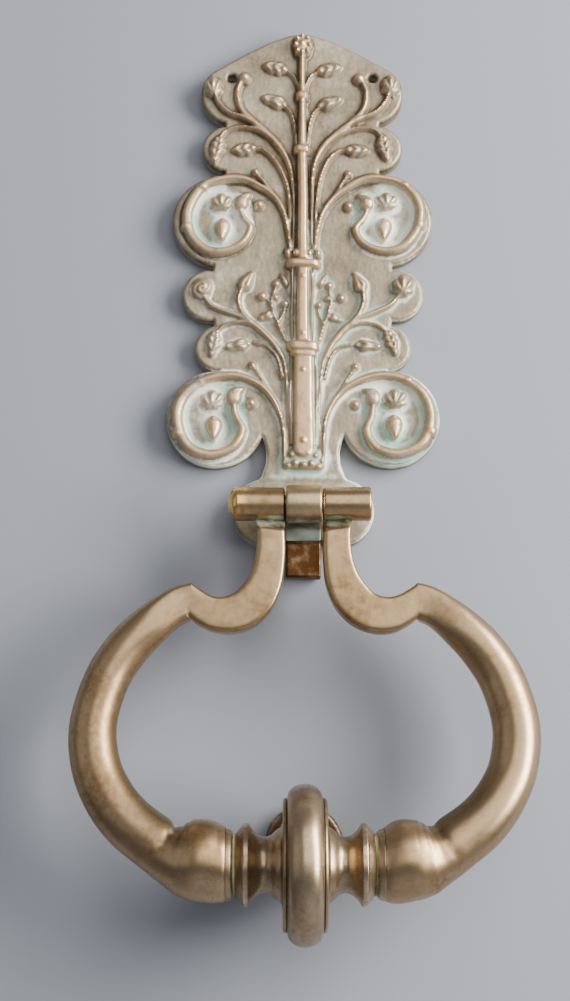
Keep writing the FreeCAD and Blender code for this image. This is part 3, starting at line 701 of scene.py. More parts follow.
# %% [markdown]
# ## Hinge pin
# A plain rod with chamfered ends. Only its right end can be seen, where the barrel is
# open. A pin's ends are cut square and eased with a file, so a small chamfer says it.
# %% Pin
pin_low, pin_high = (np.array(corner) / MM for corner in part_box("hinge_pin"))
PIN_RADIUS = (pin_high[2] - pin_low[2]) / 2
points, faces = turned([
    (pin_low[0], PIN_RADIUS - 0.4), (pin_low[0] + 0.4, PIN_RADIUS),
    (pin_high[0] - 0.35, PIN_RADIUS), (pin_high[0], PIN_RADIUS - 0.35)],
    -HINGE_DEPTH, 0, columns=64)
# The rod's hollow value paints it a little darker, as painted shade inside the barrel.
new_piece("hinge_rod", points, faces, "hinge_pin", "ring", {
    "crest": np.full(len(points), 0.3), "hollow": np.full(len(points), 0.4),
    "green": np.full(len(points), 0.4)})

# %% [markdown]
# ## Hangers
# Each hanger is a barrel on the pin and a flat swan-neck arm below it. The arm lies
# between two lines, its inner and its outer edge: each ring runs from one line to the
# other, and from the arm's front to its back, with corners rounded by a superellipse.
# %% Hangers
ARM_FRONT, ARM_BACK = 22.2, 15.2
BARREL_FACE = 5.2
BARREL_RADIUS = 4.68
PIN_HOLE_RADIUS = 2.45
INNER_EDGE = ((5.25, -0.6), (5.15, -7.5), (5.1, -15.5), (5.9, -22.3), (8.7, -29.0), (13.6, -33.6),
              (19.2, -35.5), (24.4, -35.0), (28.2, -33.2), (30.7, -31.2))
OUTER_EDGE = ((14.2, -0.6), (12.9, -6.5), (12.9, -13.3), (14.3, -18.8), (16.6, -22.6),
              (19.3, -24.9), (22.5, -25.8), (25.7, -25.1), (28.2, -23.6), (30.3, -22.0))


def superellipse(angle, power):
    """Distance from the middle to |u|^n + |v|^n = 1 along an angle; n of 2 is a circle
    and a high n is a square with rounded corners."""
    return (np.abs(np.cos(angle)) ** power + np.abs(np.sin(angle)) ** power) ** (-1 / power)


def hanger(side, name, node):
    """One hanger; side is -1 for the left one, whose barrel ends in a dome, and 1 for
    the right one, whose barrel is cut square and open."""
    inner = smooth_line(INNER_EDGE, 120)
    outer = smooth_line(OUTER_EDGE, 120)
    angle = np.linspace(0, 2 * math.pi, 96, endpoint=False)
    reach = superellipse(angle, 7.0)
    middle, half = (inner + outer) / 2, (outer - inner) / 2
    along = np.linspace(0, 1, 120)[:, None]
    swell = 1 + 0.012 * np.sin(17 * along + side) + 0.008 * np.sin(31 * along + angle)
    rings = np.empty((120, 96, 3))
    u, v = reach * np.cos(angle), reach * np.sin(angle)
    rings[..., 0] = side * (middle[:, :1] + half[:, :1] * u * swell)
    rings[..., 2] = middle[:, 1:] + half[:, 1:] * u * swell
    depth = (ARM_FRONT + ARM_BACK) / 2
    # Just below the barrel the front is set back, and it comes forward over a few mm.
    set_back = 1 - soft_step(-middle[:, 1:], 3.2, 8.2)
    front = (ARM_FRONT - 3.6 * set_back - depth) * np.maximum(v, 0)
    rings[..., 1] = -(depth + front + (depth - ARM_BACK) * np.minimum(v, 0))
    arm_points, arm_faces = tube(rings)
    if side < 0:
        dome = arc((0, 0), 1.0, 90, 0, 12) * (2.75, BARREL_RADIUS) + (18.0, 0)
        profile = np.vstack([
            [(BARREL_FACE, PIN_HOLE_RADIUS), (BARREL_FACE, 3.9), (BARREL_FACE + 0.35, 4.55),
             (9.0, 4.5), (14.0, 4.6), (18.0, BARREL_RADIUS)], dome[:-1],
            [(20.75, 0.05), (15.95, 0.05), (15.95, PIN_HOLE_RADIUS)]])
    else:
        profile = rounded_corners([
            (BARREL_FACE, PIN_HOLE_RADIUS), (BARREL_FACE, 4.6), (11, 4.55), (18.4, 4.7),
            (18.4, PIN_HOLE_RADIUS), (BARREL_FACE, PIN_HOLE_RADIUS)], 0.9)[1:]
    barrel_points, barrel_faces = turned(profile, -HINGE_DEPTH, 0, side=side, ends="joined")

    def hanger_values(points):
        """Worn front edges, and a green patch on the arm just below the barrel, which its hollow value
        also paints darker as painted shade.
        """
        across = np.abs(points[:, 0])
        patch = soft_step(points[:, 2], -9.5, -6.0) * (1 - soft_step(points[:, 2], -4.0, -3.0))
        patch = patch * (1 - soft_step(across, 13.0, 16.0)) * (-points[:, 1] > 16.5)
        front = soft_step(-points[:, 1], 20.5, 22.0)
        worn = soft_step(-points[:, 0], 14.0, 19.0) * soft_step(points[:, 2], -5.0, 1.0)
        return {"crest": np.clip(0.25 * front + worn, 0, 1), "hollow": 0.8 * patch,
                "green": np.clip(0.12 + 0.46 * patch, 0, 1)}

    points, faces, values = join_shells(
        (arm_points, arm_faces, hanger_values(arm_points)),
        (barrel_points, barrel_faces, hanger_values(barrel_points)))
    new_piece(name, points, faces, node, "ring", values)


hanger(-1, "left_arm_casting", "left_hanger")
hanger(1, "right_arm_casting", "right_hanger")

# %% [markdown]
# ## Bows
# The ring's bar starts flat at the shoulder and turns round as it bends outwards. One
# table gives the bar's middle, half width, half depth and section power at each station.
# The rings stand square to the line, and the power falls from about 6 to 2, a circle.
# %% Bows
BOW = (
    # x, z, y, half width, half depth, power
    (30.4, -26.7, -18.7, 4.75, 3.45, 6.0),
    (33.0, -27.6, -18.7, 4.85, 3.6, 5.0),
    (36.5, -29.5, -18.8, 4.95, 4.1, 3.6),
    (41.4, -33.4, -18.9, 5.6, 5.2, 2.4),
    (47.4, -39.6, -19.2, 6.0, 5.9, 2.0),
    (52.6, -48.2, -19.7, 6.15, 6.15, 2.0),
    (55.7, -60.0, -20.5, 6.25, 6.25, 2.0),
    (54.5, -70.6, -21.5, 6.4, 6.4, 2.0),
    (50.6, -78.8, -22.6, 6.75, 6.75, 2.0),
    (45.4, -85.0, -23.5, 7.0, 7.0, 2.0),
    (39.0, -89.8, -24.2, 7.2, 7.2, 2.0),
    (34.9, -92.5, -24.5, 7.6, 7.6, 2.0),
    (31.8, -93.6, -24.6, 9.1, 9.1, 2.0),
    (29.0, -94.1, -24.6, 10.1, 10.1, 2.0),
    (26.3, -94.4, -24.6, 10.45, 10.45, 2.0),
    (23.6, -94.8, -24.6, 10.25, 10.25, 2.0),
    (21.6, -95.1, -24.6, 9.8, 9.8, 2.0),
    (20.3, -95.3, -24.6, 9.25, 9.25, 2.0),
)
# Where along the bar the bulb's crease lies, from 0 at the shoulder to 1.
CREASE = 0.615


def bow(side, name, node):
    """One bow. With the line's direction d in the XZ plane, a ring is the line's point
    plus a * u along the normal of d and b * v along Y."""
    count, columns = 240, 112
    line = smooth_line(BOW, count)
    middle = line[:, :2]
    direction = np.gradient(middle, axis=0)
    direction /= np.hypot(*direction.T)[:, None]
    along = np.linspace(0, 1, count)
    # The first and last rings stand square to X, where the arm and the striker meet.
    square = np.clip(1 - along / 0.05, 0, 1) + np.clip((along - 0.80) / 0.12, 0, 1)
    direction = direction * (1 - square[:, None])
    direction += square[:, None] * np.array([1.0, 0.0]) * np.where(along < 0.5, 1, -1)[:, None]
    direction /= np.hypot(*direction.T)[:, None]
    normal = np.stack([-direction[:, 1], direction[:, 0]], -1)
    angle = np.linspace(0, 2 * math.pi, columns, endpoint=False)
    reach = superellipse(angle[None, :], line[:, 5:6])
    swell = 1 + 0.010 * np.sin(21 * along + side)[:, None]
    swell = swell + 0.006 * np.sin(37 * along[:, None] + 2 * angle)
    # The bulb starts with a crease, deepest on the side that faces the ring's inside.
    inner_side = 0.5 - 0.5 * np.cos(angle)
    crease = np.exp(-((along[:, None] - CREASE) / 0.016) ** 2) * inner_side ** 1.5
    swell = swell - 0.075 * crease
    u, v = reach * np.cos(angle) * swell, reach * np.sin(angle) * swell
    rings = np.empty((count, columns, 3))
    rings[..., 0] = side * (middle[:, :1] + normal[:, :1] * line[:, 3:4] * u)
    rings[..., 1] = line[:, 2:3] + line[:, 4:5] * v
    rings[..., 2] = middle[:, 1:] + normal[:, 1:] * line[:, 3:4] * u
    points, faces = tube(rings)
    spot = np.append(np.repeat(along, columns), [0.0, 1.0])
    turn = np.append(np.tile(angle, count), [0.0, 0.0])
    crease = np.exp(-((spot - CREASE) / 0.020) ** 2) * (0.5 - 0.5 * np.cos(turn)) ** 2
    ends = soft_step(spot, 0.985, 1.0)
    # Damp sits on top of the lower bar, on the side that faces the ring's inside.
    damp = soft_step(spot, 0.34, 0.5) * (1 - soft_step(spot, 0.64, 0.8))
    damp *= (0.5 - 0.5 * np.cos(turn)) ** 2
    # The hollow value paints the bulb's crease and the bar's end darker: painted shade; their green is
    # corrosion.
    new_piece(name, points, faces, node, "ring", {
        "crest": 0.2 * soft_step(spot, 0.68, 0.75) * (1 - ends) * (points[:, 1] < -26),
        "hollow": np.clip(0.6 * crease + 0.4 * ends + 0.7 * damp, 0, 1),
        "green": np.clip(0.10 + 0.24 * crease + 0.3 * ends + 0.08 * damp, 0, 1)})


bow(-1, "left_bow_bar", "left_bow")
bow(1, "right_bow_bar", "right_bow")

# %% [markdown]
# ## Striker
# The striker is turned like a spool: a heavy half-round rim with fine steps beside it,
# a waist and a flared collar on each side, and a cone that sinks into the bow's bulb.
# One profile from the middle outwards serves both sides by mirroring it.
# %% Striker
RIM_HALF_WIDTH = 4.5
RIM_FOOT = 17.0
half_round = arc((0, 0), 1.0, 90, 0, 15) * (RIM_HALF_WIDTH, RIM_RADIUS - RIM_FOOT) + (0, RIM_FOOT)
turned_side = rounded_corners([
    (RIM_HALF_WIDTH, RIM_FOOT), (4.85, 16.55), (4.9, 16.95), (5.6, 16.6), (5.75, 15.7),
    (5.5, 13.5), (5.7, 11.0), (6.2, 9.5)], 0.25, steps=3)
neck = smooth_line([(6.2, 9.5), (7.4, 8.7), (8.8, 7.5), (10.4, 7.05), (12.2, 7.7), (13.6, 9.0),
                    (14.3, 10.1)], 30)
collar = rounded_corners([
    (14.5, 10.45), (15.7, 10.5), (16.0, 9.9), (17.6, 8.2), (18.0, 7.5), (18.3, 8.0), (18.9, 8.75),
    (20.1, 9.15), (20.6, 8.9), (21.0, 6.0)], 0.3, steps=4)
half = np.vstack([half_round, turned_side, neck[1:], collar])
spool = np.vstack([half[::-1] * (-1, 1), half[1:]])
points, faces = turned(spool, STRIKER_CENTRE[1], STRIKER_CENTRE[2], columns=180)
across = np.abs(points[:, 0])
radius = np.hypot(points[:, 1] - STRIKER_CENTRE[1], points[:, 2] - STRIKER_CENTRE[2])
groove = 0.8 * np.exp(-((across - 18.1) / 0.5) ** 2) + 0.45 * np.exp(-((across - 5.0) / 0.5) ** 2)
groove += 0.45 * np.exp(-((across - 10.4) / 2.2) ** 2)
# The grooves and the waist get hollow values, which paint them darker: painted shade; their green is
# corrosion.
new_piece("spool_turning", points, faces, "striker", "ring", {
    "crest": np.clip(soft_step(radius, 18.5, 20.2) * 0.35
                     + np.exp(-((across - 15.2) / 0.7) ** 2) * 0.8, 0, 1),
    "hollow": np.clip(groove, 0, 1),
    "green": np.clip(0.1 + 0.9 * groove + 0.25 * soft_step(radius, 18.5, 20.4), 0, 1)})

# %% [markdown]
# ## Building shader groups
# A node group is a small machine with named sockets: it is built once, and each
# material places it with its own values. The helpers below keep the wiring short. A
# setting that is a socket of another node is joined to it, and anything else is typed in.
# %% Node helpers
def colour(red, green, blue):
    """Linear colour from the 0 to 255 values that a paint chart would give."""
    channels = np.array([red, green, blue]) / 255
    linear = np.where(channels > 0.04045, ((channels + 0.055) / 1.055) ** 2.4, channels / 12.92)
    return (*linear.tolist(), 1.0)


def node(tree, kind, settings=None, **sockets):
    """New node; sockets are named as in Blender, with _ for a space, or are i and the
    socket's number where several share one name."""
    made = tree.nodes.new(kind)
    for key, value in (settings or {}).items():
        setattr(made, key, value)
    for key, value in sockets.items():
        place = int(key[1:]) if key[1:].isdigit() else key.replace("_", " ")
        found = made.inputs[place]
        if isinstance(value, bpy.types.NodeSocket):
            tree.links.new(value, found)
        else:
            found.default_value = value
    return made


def maths(tree, operation, a, b=0.0, clamp=False):
    """Result of one sum on two values or sockets."""
    made = node(tree, "ShaderNodeMath", {"operation": operation, "use_clamp": clamp}, i0=a, i1=b)
    return made.outputs[0]


def blend_colours(tree, amount, first, second):
    """First colour where amount is 0 and second where it is 1."""
    made = node(tree, "ShaderNodeMix", {"data_type": "RGBA"}, i0=amount, i6=first, i7=second)
    return made.outputs[2]


def stretch(tree, value, low, high, to_low=0.0, to_high=1.0):
    """Value between low and high, mapped smoothly to the other two numbers."""
    made = node(tree, "ShaderNodeMapRange", {"interpolation_type": "SMOOTHSTEP"}, Value=value,
                From_Min=low, From_Max=high, To_Min=to_low, To_Max=to_high)
    return made.outputs[0]


def new_group(name, inputs, outputs):
    """Empty node group with named sockets; each is (name, kind, default)."""
    tree = bpy.data.node_groups.new(name, "ShaderNodeTree")
    for direction, sockets in (("INPUT", inputs), ("OUTPUT", outputs)):
        for socket_name, kind, *default in sockets:
            made = tree.interface.new_socket(socket_name, in_out=direction, socket_type=kind)
            if default:
                made.default_value = default[0]
    return tree, tree.nodes.new("NodeGroupInput"), tree.nodes.new("NodeGroupOutput")


FLOAT, COLOUR = "NodeSocketFloat", "NodeSocketColor"


def place_group(tree, group, **sockets):
    """Places a group in a material with its own values."""
    return node(tree, "ShaderNodeGroup", {"node_tree": group}, **sockets)


# %% [markdown]
# ## Effect: tones of aged bronze
# Old bronze is never one brown. Oxide grows in patches, from a deep chocolate to a tan,
# with small cloudy spots of its own. Two noises of different sizes choose between three
# colours. The patches also leave the group as a value, to vary the shine with them.
# %% Group of aged tones
aged_tones, given, result = new_group("aged_tones", [
    ("Deep", COLOUR), ("Middle", COLOUR), ("Pale", COLOUR),
    ("Patch Scale", FLOAT, 60.0), ("Fleck Scale", FLOAT, 700.0)],
    [("Colour", COLOUR), ("Patches", FLOAT)])
place = node(aged_tones, "ShaderNodeTexCoord").outputs["Object"]
patches = node(aged_tones, "ShaderNodeTexNoise", Vector=place, Scale=given.outputs["Patch Scale"],
               Detail=5.0, Roughness=0.62, Distortion=0.6).outputs[0]
flecks = node(aged_tones, "ShaderNodeTexNoise", Vector=place, Scale=given.outputs["Fleck Scale"],
              Detail=3.0, Roughness=0.6).outputs[0]
mixed = maths(aged_tones, "ADD", maths(aged_tones, "MULTIPLY", patches, 0.72),
              maths(aged_tones, "MULTIPLY", flecks, 0.28))
dark_to_middle = blend_colours(aged_tones, stretch(aged_tones, mixed, 0.34, 0.52),
                               given.outputs["Deep"], given.outputs["Middle"])
tones = blend_colours(aged_tones, stretch(aged_tones, mixed, 0.50, 0.68),
                      dark_to_middle, given.outputs["Pale"])
aged_tones.links.new(tones, result.inputs["Colour"])
aged_tones.links.new(mixed, result.inputs["Patches"])

# %% [markdown]
# ## Effect: green corrosion
# Copper salts gather where damp stays: in hollows, creases and the foot of the relief.
# The mask starts from the two values painted on the mesh and is broken up by noise, so
# that its edge is ragged. The thick parts are pale and chalky and the thin ones green.
# %% Group of green corrosion
green_bloom, given, result = new_group("green_bloom", [
    ("Hollow", FLOAT, 0.0), ("Green", FLOAT, 0.0), ("Amount", FLOAT, 1.0), ("Scale", FLOAT, 260.0),
    ("Chalk", COLOUR), ("Salt", COLOUR)], [("Mask", FLOAT), ("Colour", COLOUR)])
place = node(green_bloom, "ShaderNodeTexCoord").outputs["Object"]
ragged = node(green_bloom, "ShaderNodeTexNoise", Vector=place, Scale=given.outputs["Scale"],
              Detail=6.0, Roughness=0.7, Distortion=0.4).outputs[0]
cloud = node(green_bloom, "ShaderNodeTexNoise", Vector=place, Scale=70.0, Detail=3.0).outputs[0]
damp = maths(green_bloom, "ADD", maths(green_bloom, "MULTIPLY", given.outputs["Hollow"], 0.9), 0.35)
gathered = maths(green_bloom, "MULTIPLY", damp, given.outputs["Green"])
gathered = maths(green_bloom, "MULTIPLY", gathered, given.outputs["Amount"])
uneven = maths(green_bloom, "ADD", maths(green_bloom, "MULTIPLY", ragged, 0.75),
               maths(green_bloom, "MULTIPLY", cloud, 0.35))
mask = stretch(green_bloom, maths(green_bloom, "ADD", gathered, uneven), 0.86, 1.30)
green_bloom.links.new(mask, result.inputs["Mask"])
green_bloom.links.new(blend_colours(green_bloom, stretch(green_bloom, cloud, 0.42, 0.62),
                                    given.outputs["Salt"], given.outputs["Chalk"]),
                      result.inputs["Colour"])

# %% [markdown]
# ## Effect: rubbed crests
# Hands and cleaning cloths reach only the high spots, and take the brown off them. The
# crest value says how far a spot stands over its surroundings, and a fine noise breaks
# the rubbed area up, so that it fades instead of ending at a line.
# %% Group of rubbed crests
rubbed_crests, given, result = new_group("rubbed_crests", [
    ("Crest", FLOAT, 0.0), ("Amount", FLOAT, 1.0), ("Scale", FLOAT, 400.0)], [("Mask", FLOAT)])
place = node(rubbed_crests, "ShaderNodeTexCoord").outputs["Object"]
speckle = node(rubbed_crests, "ShaderNodeTexNoise", Vector=place, Scale=given.outputs["Scale"],
               Detail=4.0, Roughness=0.65).outputs[0]
rubbing = maths(rubbed_crests, "MULTIPLY", given.outputs["Crest"], given.outputs["Amount"])
faded = stretch(rubbed_crests, speckle, 0.3, 0.6, 0.35, 1.0)
rubbing = maths(rubbed_crests, "MULTIPLY", rubbing, faded)
rubbed_crests.links.new(stretch(rubbed_crests, rubbing, 0.08, 0.85), result.inputs["Mask"])

# %% [markdown]
# ## Effect: painted shade in hollows
# A dark line is painted along the foot of each raised stem and into other low places:
# painted shade, where the metal around shuts out the light. The hollow value gives the
# place, and a noise thins the line here and there.
# %% Group of painted shade in hollows
painted_hollow_shade, given, result = new_group("painted_hollow_shade", [
    ("Hollow", FLOAT, 0.0), ("Amount", FLOAT, 0.6), ("Scale", FLOAT, 300.0)], [("Mask", FLOAT)])
place = node(painted_hollow_shade, "ShaderNodeTexCoord").outputs["Object"]
thinning = node(painted_hollow_shade, "ShaderNodeTexNoise", Vector=place, Scale=given.outputs["Scale"],
                Detail=4.0, Roughness=0.6).outputs[0]
shade_in_hollows = maths(painted_hollow_shade, "MULTIPLY", stretch(painted_hollow_shade, given.outputs["Hollow"], 0.12, 0.85),
               stretch(painted_hollow_shade, thinning, 0.25, 0.55, 0.55, 1.0))
painted_hollow_shade.links.new(maths(painted_hollow_shade, "MULTIPLY", shade_in_hollows, given.outputs["Amount"]),
                       result.inputs["Mask"])

# %% [markdown]
# ## Effect: cast skin
# Sand casting leaves a faintly grainy skin with a few pits where gas was trapped. The
# grain is a fine noise. The pits are round dips at the seeds of a cell pattern, kept
# only where a random number of the cell is low, so that they stay few and scattered.
# %% Group of cast skin
cast_skin, given, result = new_group("cast_skin", [
    ("Grain Scale", FLOAT, 1500.0), ("Grain", FLOAT, 0.3), ("Pit Scale", FLOAT, 260.0),
    ("Pits", FLOAT, 0.5)], [("Height", FLOAT), ("Pit Mask", FLOAT)])
place = node(cast_skin, "ShaderNodeTexCoord").outputs["Object"]
grain = node(cast_skin, "ShaderNodeTexNoise", Vector=place, Scale=given.outputs["Grain Scale"],
             Detail=3.0, Roughness=0.6).outputs[0]
cells_of_pits = node(cast_skin, "ShaderNodeTexVoronoi", Vector=place,
                     Scale=given.outputs["Pit Scale"], Randomness=1.0)
chosen = maths(cast_skin, "LESS_THAN",
               node(cast_skin, "ShaderNodeSeparateColor",
                    Color=cells_of_pits.outputs["Color"]).outputs[0], 0.22)
dips = stretch(cast_skin, cells_of_pits.outputs["Distance"], 0.08, 0.26, 1.0, 0.0)
few_dips = maths(cast_skin, "MULTIPLY", dips, chosen)
pit_mask = maths(cast_skin, "MULTIPLY", few_dips, given.outputs["Pits"])
grain_height = maths(cast_skin, "MULTIPLY", grain, given.outputs["Grain"])
skin = maths(cast_skin, "SUBTRACT", grain_height, pit_mask)
cast_skin.links.new(skin, result.inputs["Height"])
cast_skin.links.new(pit_mask, result.inputs["Pit Mask"])
print("shader groups:", [group.name for group in bpy.data.node_groups])


# %% [markdown]
# ## The finishes
# One recipe makes each bronze: aged tones, then painted shade in the hollows, rubbed crests
# and green corrosion on top. Corrosion is a salt and not a metal, so it takes the metallic
# value down as well as changing the colour.
# %% Recipe for a bronze
def bronze(name, deep, middle, pale, rubbed, chalk, salt, patch_scale, rub, bloom, grain, pits,
           roughness, metallic, bump, shade_and_dirt, shade_strength=0.6):
    """Aged bronze material made of the five groups: its colours first, then where they
    lie and how strongly, then the skin and the shine."""
    made = bpy.data.materials.new(name)
    made.use_nodes = True
    tree = made.node_tree
    shader = tree.nodes["Principled BSDF"]
    crest_value, hollow_value, green_value = (
        node(tree, "ShaderNodeAttribute", {"attribute_name": value}).outputs["Fac"]
        for value in ("crest", "hollow", "green"))
    tones = place_group(tree, aged_tones, Deep=deep, Middle=middle, Pale=pale,
                        Patch_Scale=patch_scale)
    crests = place_group(tree, rubbed_crests, Crest=crest_value, Amount=rub)
    corrosion = place_group(tree, green_bloom, Hollow=hollow_value, Green=green_value,
                            Amount=bloom, Chalk=chalk, Salt=salt)
    skin = place_group(tree, cast_skin, Grain=grain, Pits=pits)
    painted_shade = place_group(tree, painted_hollow_shade, Hollow=hollow_value, Amount=shade_strength)
    # Painted shade: the hollows are blended towards the dark colour; the same colour darkens the pits as
    # dirt.
    metal = blend_colours(tree, painted_shade.outputs["Mask"], tones.outputs["Colour"], shade_and_dirt)
    metal = blend_colours(tree, crests.outputs["Mask"], metal, rubbed)
    dirty_pits = maths(tree, "MULTIPLY", skin.outputs["Pit Mask"], 0.8)
    metal = blend_colours(tree, dirty_pits, metal, shade_and_dirt)
    covered = blend_colours(tree, corrosion.outputs["Mask"], metal, corrosion.outputs["Colour"])
    tree.links.new(covered, shader.inputs["Base Color"])
    bare = maths(tree, "SUBTRACT", 1.0, corrosion.outputs["Mask"])
    metal_there = maths(tree, "MULTIPLY_ADD", crests.outputs["Mask"], (1 - metallic) * 0.7)
    metal_there.node.inputs[2].default_value = metallic
    tree.links.new(maths(tree, "MULTIPLY", metal_there, bare), shader.inputs["Metallic"])
    dull = stretch(tree, tones.outputs["Patches"], 0.3, 0.7, roughness + 0.10, roughness - 0.06)
    dull = maths(tree, "SUBTRACT", dull, maths(tree, "MULTIPLY", crests.outputs["Mask"], 0.10))
    dull_salt = maths(tree, "MULTIPLY", corrosion.outputs["Mask"], 0.35)
    dull = maths(tree, "ADD", dull, dull_salt, clamp=True)
    tree.links.new(dull, shader.inputs["Roughness"])
    relief_height = maths(tree, "ADD", skin.outputs["Height"],
                          maths(tree, "MULTIPLY", corrosion.outputs["Mask"], 0.25))
    bumps = node(tree, "ShaderNodeBump", Strength=bump, Distance=0.00025, Height=relief_height)
    tree.links.new(bumps.outputs["Normal"], shader.inputs["Normal"])
    return made


# %% [markdown]
# ## Five bronzes
# The pieces have aged in different ways. The plate is dusty and dull, and chalky green
# in its hollows. The ring is handled every day, so it is smooth and bright. The turned
# parts are a little greyer. The lug's foot is painted dark as painted shadow, and the disc
# is given the darkest colours as painted shade, for the shade of the striker in front of
# it. Each finish gives the recipe its own colours and amounts.
# %% Five bronzes
CHALK, SALT = colour(232, 231, 219), colour(166, 192, 176)
plate_bronze = bronze(
    "dusty_plate_bronze", colour(124, 110, 87), colour(150, 137, 114), colour(178, 166, 144),
    colour(210, 173, 132), CHALK, SALT, patch_scale=60.0, rub=1.25, bloom=1.05, grain=0.5,
    pits=0.25, roughness=0.43, metallic=0.4, bump=0.6, shade_and_dirt=colour(84, 68, 48), shade_strength=0.9)
lug_bronze = bronze(
    "worn_lug_bronze", colour(132, 106, 74), colour(184, 158, 122), colour(198, 174, 138),
    colour(208, 184, 144), colour(204, 214, 202), colour(140, 164, 146), patch_scale=40.0,
    rub=0.8, bloom=1.0, grain=0.15, pits=0.2, roughness=0.36, metallic=0.95, bump=0.4,
    shade_and_dirt=colour(88, 58, 30), shade_strength=1.0)
ring_bronze = bronze(
    "satin_ring_bronze", colour(136, 108, 76), colour(168, 141, 108), colour(184, 158, 125),
    colour(238, 194, 118), colour(204, 210, 192), colour(132, 158, 136), patch_scale=32.0,
    rub=1.0, bloom=0.85, grain=0.10, pits=0.15, roughness=0.31, metallic=0.97, bump=0.35,
    shade_and_dirt=colour(88, 78, 50))
turned_bronze = bronze(
    "turned_striker_bronze", colour(120, 98, 72), colour(160, 138, 110), colour(178, 158, 130),
    colour(214, 190, 156), colour(184, 184, 138), colour(142, 146, 96), patch_scale=45.0,
    rub=0.9, bloom=0.85, grain=0.10, pits=0.12, roughness=0.30, metallic=0.93, bump=0.3,
    shade_and_dirt=colour(92, 76, 48))
# The disc's colours are darker than the other bronzes' as painted shade: the striker hangs in front of it
# and shuts out the light.
disc_finish_painted_dark = bronze(
    "disc_metal_with_painted_shade", colour(52, 40, 30), colour(86, 68, 50), colour(112, 92, 70),
    colour(190, 160, 122), CHALK, SALT, patch_scale=70.0, rub=1.0, bloom=0.7, grain=0.3,
    pits=0.3, roughness=0.42, metallic=0.9, bump=0.4, shade_and_dirt=colour(44, 34, 26))
for piece_name, finish in (
        ("plate_casting", plate_bronze), ("hinge_lug_casting", lug_bronze),
        ("strike_disc", disc_finish_painted_dark), ("hinge_rod", turned_bronze),
        ("left_arm_casting", ring_bronze), ("right_arm_casting", ring_bronze),
        ("left_bow_bar", ring_bronze), ("right_bow_bar", ring_bronze),
        ("spool_turning", turned_bronze)):
    bpy.data.objects[piece_name].data.materials.append(finish)
print("materials:", [material.name for material in bpy.data.materials])

# %% [markdown]
# ## The stage
# The knocker hangs on a door, so the stage is a pale wall just behind it that curves
# forward into a floor far below. The wall lets through rays from behind, shadow rays and
# rays of a few millimetres, so that the plate's back is lit and can be looked at too.
# %% Wall and floor
WALL_DEPTH = 0.0006
FLOOR_HEIGHT = -0.68
STAGE_HALF_WIDTH = 1.8
SHORTEST_RAY = 0.006
sweep = smooth_line([(WALL_DEPTH, 1.6), (WALL_DEPTH, 0.2), (WALL_DEPTH, -0.45), (-0.03, -0.58),
                     (-0.14, -0.66), (-0.6, FLOOR_HEIGHT), (-2.2, FLOOR_HEIGHT)], 90)
sweep[:32, 0] = WALL_DEPTH
stage_points = np.empty((len(sweep), 2, 3))
stage_points[..., 0] = (-STAGE_HALF_WIDTH, STAGE_HALF_WIDTH)
stage_points[..., 1] = np.minimum(sweep[:, :1], WALL_DEPTH)
stage_points[..., 2] = sweep[:, 1:]
stage_mesh = bpy.data.meshes.new("wall_and_floor")
stage_mesh.from_pydata(stage_points.reshape(-1, 3).tolist(), [],
                       grid_faces(len(sweep), 2, wrap=False).tolist())
stage_mesh.polygons.foreach_set("use_smooth", np.ones(len(stage_mesh.polygons), bool))
stage_mesh.update()
if stage_mesh.polygons[0].normal.y > 0:
    stage_mesh.flip_normals()
wall = bpy.data.objects.new("wall_and_floor", stage_mesh)
bpy.context.scene.collection.objects.link(wall)
paint = bpy.data.materials.new("pale_wall_paint")
paint.use_nodes = True
tree = paint.node_tree
shader = tree.nodes["Principled BSDF"]
shader.inputs["Base Color"].default_value = colour(140, 143, 151)
shader.inputs["Roughness"].default_value = 0.85
clear = tree.nodes.new("ShaderNodeBsdfTransparent")
from_behind = node(tree, "ShaderNodeNewGeometry").outputs["Backfacing"]
ray = node(tree, "ShaderNodeLightPath").outputs
very_short = maths(tree, "LESS_THAN", ray["Ray Length"], SHORTEST_RAY)
let_through = maths(tree, "MAXIMUM", from_behind, ray["Is Shadow Ray"])
let_through = maths(tree, "MAXIMUM", let_through, very_short)
mixer = tree.nodes.new("ShaderNodeMixShader")
tree.links.new(let_through, mixer.inputs[0])
tree.links.new(shader.outputs[0], mixer.inputs[1])
tree.links.new(clear.outputs[0], mixer.inputs[2])
tree.links.new(mixer.outputs[0], tree.nodes["Material Output"].inputs["Surface"])
stage_mesh.materials.append(paint)
print("stage reaches from", round(float(sweep[0, 1]), 2), "m down to", FLOOR_HEIGHT, "m")


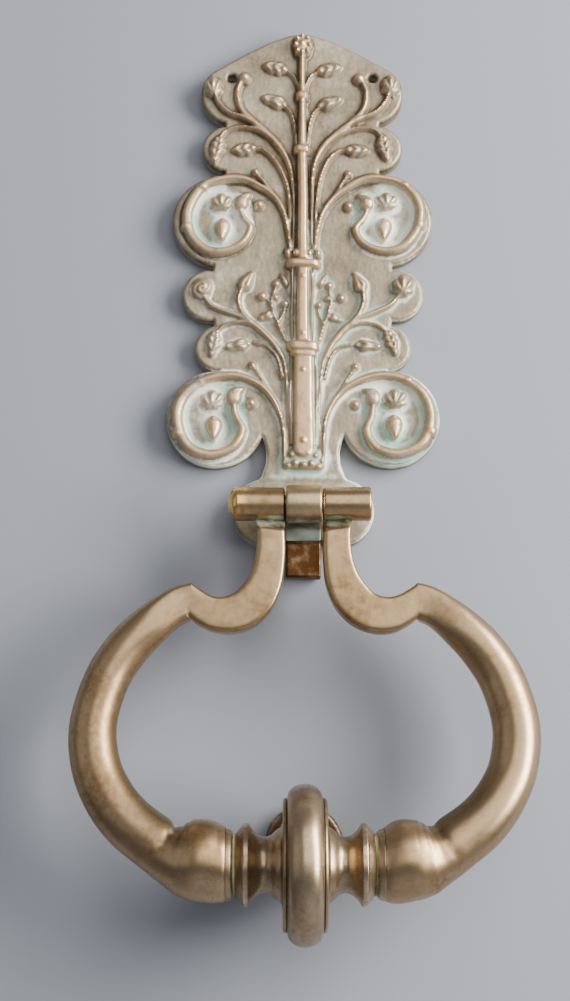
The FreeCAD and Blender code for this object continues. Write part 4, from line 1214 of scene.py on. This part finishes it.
# %% [markdown]
# ## Lights
# A tall soft light stands on the right, like a window, and draws long highlights down
# the right of each bar. A broad one above the viewer's head fills the front, and a weak
# one on the left keeps the shadows open. The air of the room adds a little from all round.
# %% Lights
def soft_light(name, place, aim, width, height, power, tint):
    """Area light that faces its aim."""
    lamp = bpy.data.lights.new(name, "AREA")
    lamp.shape = "RECTANGLE"
    lamp.size, lamp.size_y = width, height
    lamp.energy = power
    lamp.color = tint
    holder = bpy.data.objects.new(name, lamp)
    holder.location = place
    direction = Vector(aim) - Vector(place)
    holder.rotation_euler = direction.to_track_quat("-Z", "Y").to_euler()
    bpy.context.scene.collection.objects.link(holder)
    return holder


window = soft_light("window_light", (0.60, -0.36, 0.15), (0.0, -0.01, -0.02), 0.30, 0.70, 18.0,
                    (1.0, 0.985, 0.96))
room = soft_light("room_light", (0.26, -0.95, 0.40), (0.0, 0.0, 0.0), 0.90, 1.10, 6.5,
                  (1.0, 0.99, 0.97))
fill = soft_light("fill_light", (-0.60, -0.50, 0.10), (0.0, -0.01, 0.0), 0.6, 0.7, 0.5,
                  (0.93, 0.96, 1.0))
world = bpy.data.worlds.new("studio_air")
bpy.context.scene.world = world
world.use_nodes = True
air = world.node_tree.nodes["Background"]
air.inputs["Color"].default_value = (0.52, 0.54, 0.57, 1.0)
air.inputs["Strength"].default_value = 0.42
print("lights:", [light.name for light in bpy.data.lights])

# %% [markdown]
# ## Camera
# The camera stands in front of the ring and looks up a little, as someone does who
# comes to the door. Blender's camera looks straight down when it isn't turned, so a
# quarter turn about X makes it look level, and a few degrees more make it look up.
# %% Camera
LENS = 54.13
SENSOR_WIDTH = 36.0
EYE_PLACE = (-0.00514, -0.4206, -0.0844)
LOOKING_UP = 12.0
camera_lens = bpy.data.cameras.new("eye")
camera_lens.lens = LENS
camera_lens.sensor_width = SENSOR_WIDTH
eye = bpy.data.objects.new("eye", camera_lens)
eye.location = EYE_PLACE
eye.rotation_euler = (math.radians(90.0 + LOOKING_UP), 0.0, 0.0)
bpy.context.scene.collection.objects.link(eye)
bpy.context.scene.camera = eye
print("camera looks up by", LOOKING_UP, "degrees through a lens of", LENS, "mm")
